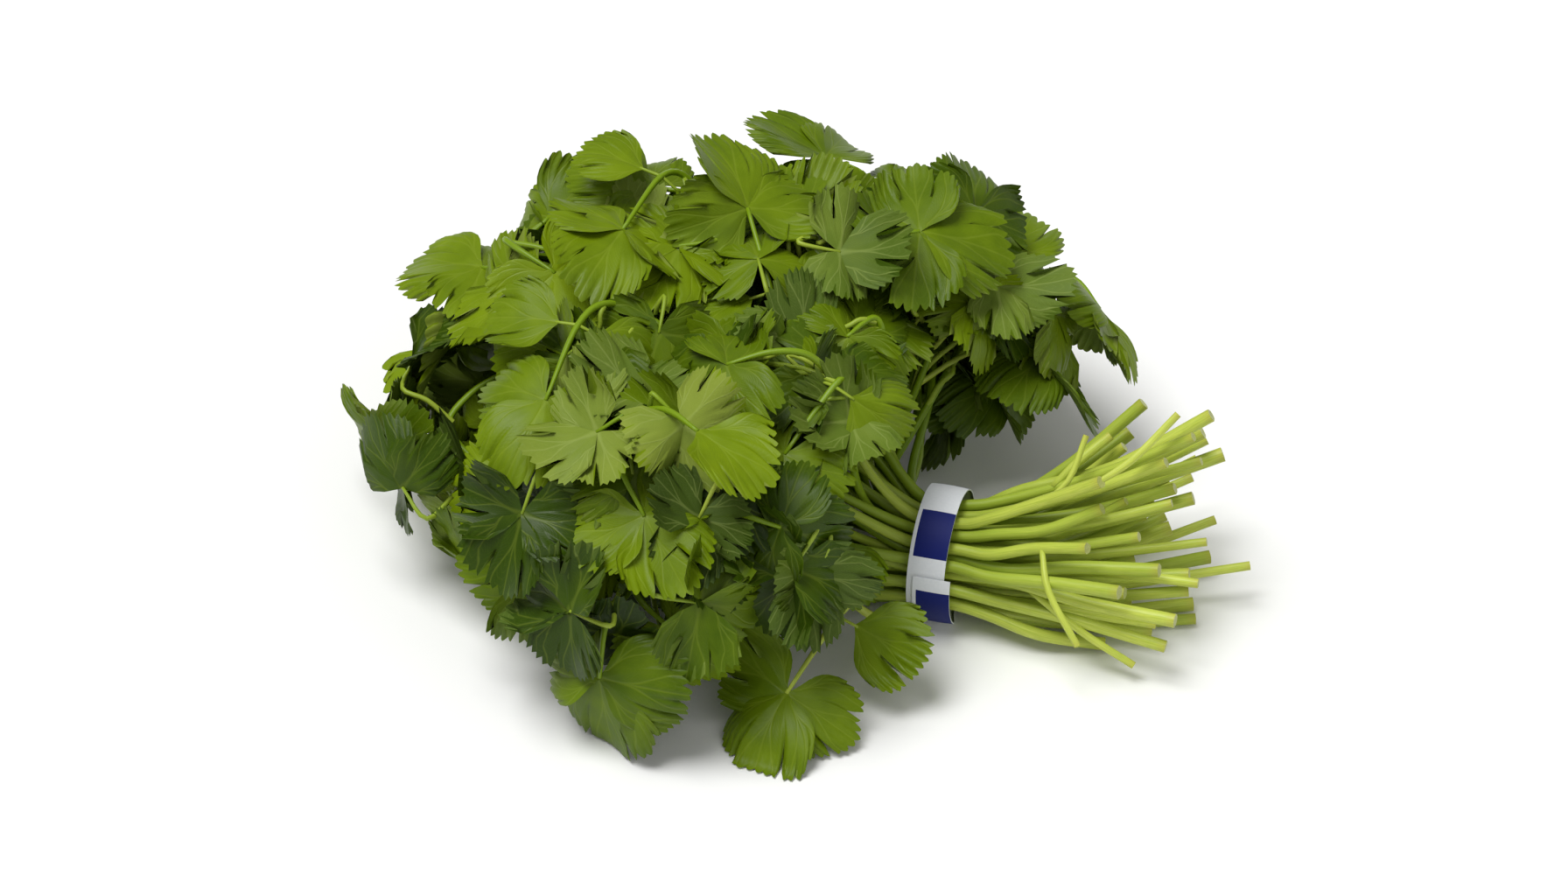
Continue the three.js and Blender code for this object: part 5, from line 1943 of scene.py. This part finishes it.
@dataclass(frozen=True)
class FloorFinish:
    """A plain pale matt table top."""

    name: str = "pale_table"
    colour: str = "f4f4f3"
    roughness: float = 0.7

    def material(self) -> bpy.types.Material:
        """Builds the material.

        Returns:
            The material.
        """
        material, tree, output = blank(self.name)
        plain = {"Base Color": linear(self.colour), "Roughness": self.roughness}
        skin = add(tree, "ShaderNodeBsdfPrincipled", plain)
        tree.links.new(skin.outputs[0], output.inputs[0])
        return material


# The shaded greens are painted shade, for leaves inside the bunch and beside the tie
UPPER_LEAF = LeafFinish(
    name="coriander_leaf_upper",
    young="7e9609",
    grown="445e07",
    shaded="1e3201",
    vein="9aac3c",
    through="8fae00",
    roughness=0.4,
    vein_share=0.18,
    relief=-0.16,
    gloss=0.25,
)
UNDER_LEAF = LeafFinish(
    name="coriander_leaf_underside",
    young="8b9c38",
    grown="637c24",
    shaded="34480f",
    vein="a8b864",
    through="93ae10",
    roughness=0.58,
    vein_share=0.28,
    relief=0.2,
    gloss=0.3,
)


@dataclass(frozen=True)
class LampPlan:
    """A far, broad light: where it shines from, how wide it looks in degrees, and its strength."""

    name: str
    place: tuple[float, float, float]
    wide: float
    strength: float


LAMPS = (
    LampPlan("key_light", (-0.45, -0.3, 1.6), 34.0, 2.85),
    LampPlan("fill_light", (0.9, -0.8, 1.0), 50.0, 0.4),
)


@dataclass
class Studio:
    """The pale floor, the soft lights and the camera at the photograph's angle.

    distance, look_across and look_up are millimetres, and frame_width is pixels. half_floor and far_end,
    how far the camera sees, are metres.
    """

    distance: float = 2200.0
    pixels_per_mm: float = 3.6
    frame_width: float = 1792.0
    look_across: float = -49.7
    look_up: float = 32.8
    half_floor: float = 6.0
    far_end: float = 20.0
    sky: tuple[float, float, float, float] = (1.0, 1.0, 0.98, 1.0)
    sky_strength: float = 0.28

    def build(self) -> None:
        """Builds the floor, the lights and the camera."""
        self.floor()
        for plan in LAMPS:
            self.lamp(plan)
        world = bpy.data.worlds.new("studio")
        world.use_nodes = True
        background = world.node_tree.nodes["Background"]
        background.inputs[0].default_value = self.sky
        background.inputs[1].default_value = self.sky_strength
        bpy.context.scene.world = world
        bpy.context.scene.view_settings.view_transform = "Standard"
        self.camera()

    def floor(self) -> None:
        """Builds the table top, a plane far larger than the view."""
        mesh = bpy.data.meshes.new("table_top")
        far = self.half_floor
        corners = [(-far, -far, 0), (far, -far, 0), (far, far, 0), (-far, far, 0)]
        mesh.from_pydata(corners, [], [(0, 1, 2, 3)])
        mesh.materials.append(FloorFinish().material())
        floor = bpy.data.objects.new("table_top", mesh)
        bpy.context.scene.collection.objects.link(floor)

    def lamp(self, plan: LampPlan) -> None:
        """Adds a light, even over the whole table, whose breadth makes its shadows soft.

        Args:
            plan: The light's plan.
        """
        data = bpy.data.lights.new(plan.name, "SUN")
        data.angle, data.energy = math.radians(plan.wide), plan.strength
        lamp = bpy.data.objects.new(plan.name, data)
        lamp.matrix_world = self.aimed(Vector(plan.place), Vector((0, 0, 0)))
        bpy.context.scene.collection.objects.link(lamp)

    @staticmethod
    def aimed(place: Vector, target: Vector) -> Matrix:
        """The matrix of a thing at a place whose back looks away from a target.

        Args:
            place: Where it is.
            target: What it looks at.

        Returns:
            The matrix.
        """
        turn = (target - place).to_track_quat("-Z", "Y").to_matrix().to_4x4()
        return Matrix.Translation(place) @ turn

    def camera(self) -> None:
        """Adds the camera, with such a lens that a millimetre at the tie is as wide as in the photo."""
        data = bpy.data.cameras.new("camera")
        data.lens = data.sensor_width * self.distance * self.pixels_per_mm / self.frame_width
        data.clip_end = self.far_end
        target = np.array([0.0, 0.0, TIE_HEIGHT]) + ACROSS * self.look_across + UP * self.look_up
        place = (target + TOWARDS * self.distance) * MM
        camera = bpy.data.objects.new("camera", data)
        camera.matrix_world = self.aimed(Vector(place), Vector(target * MM))
        bpy.context.scene.collection.objects.link(camera)
        bpy.context.scene.camera = camera


def main() -> None:
    """Builds the bunch and its studio."""
    logging.basicConfig(level=logging.INFO)
    sprays = BunchLayout().lay_out()
    leaf_materials = [
        UPPER_LEAF.material(),
        UNDER_LEAF.material(),
        StemFinish().material(),
        CutFinish().material(),
    ]
    shoots = SideShoots(sprays)
    for n, spray in enumerate(sprays):
        piece = LeafyStem(spray, n + 1, shoots.on(n)).build()
        for material in leaf_materials:
            piece.data.materials.append(material)
        log.info("%s: %d faces", piece.name, len(piece.data.polygons))
    tie = PaperTie().build()
    tie.data.materials.append(PaperFinish().material())
    tie.data.materials.append(PaperFinish(name="coated_paper_back", printed=False).material())
    log.info("%s: %d faces", tie.name, len(tie.data.polygons))
    Studio().build()
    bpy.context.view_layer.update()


if __name__ == "__main__":
    main()
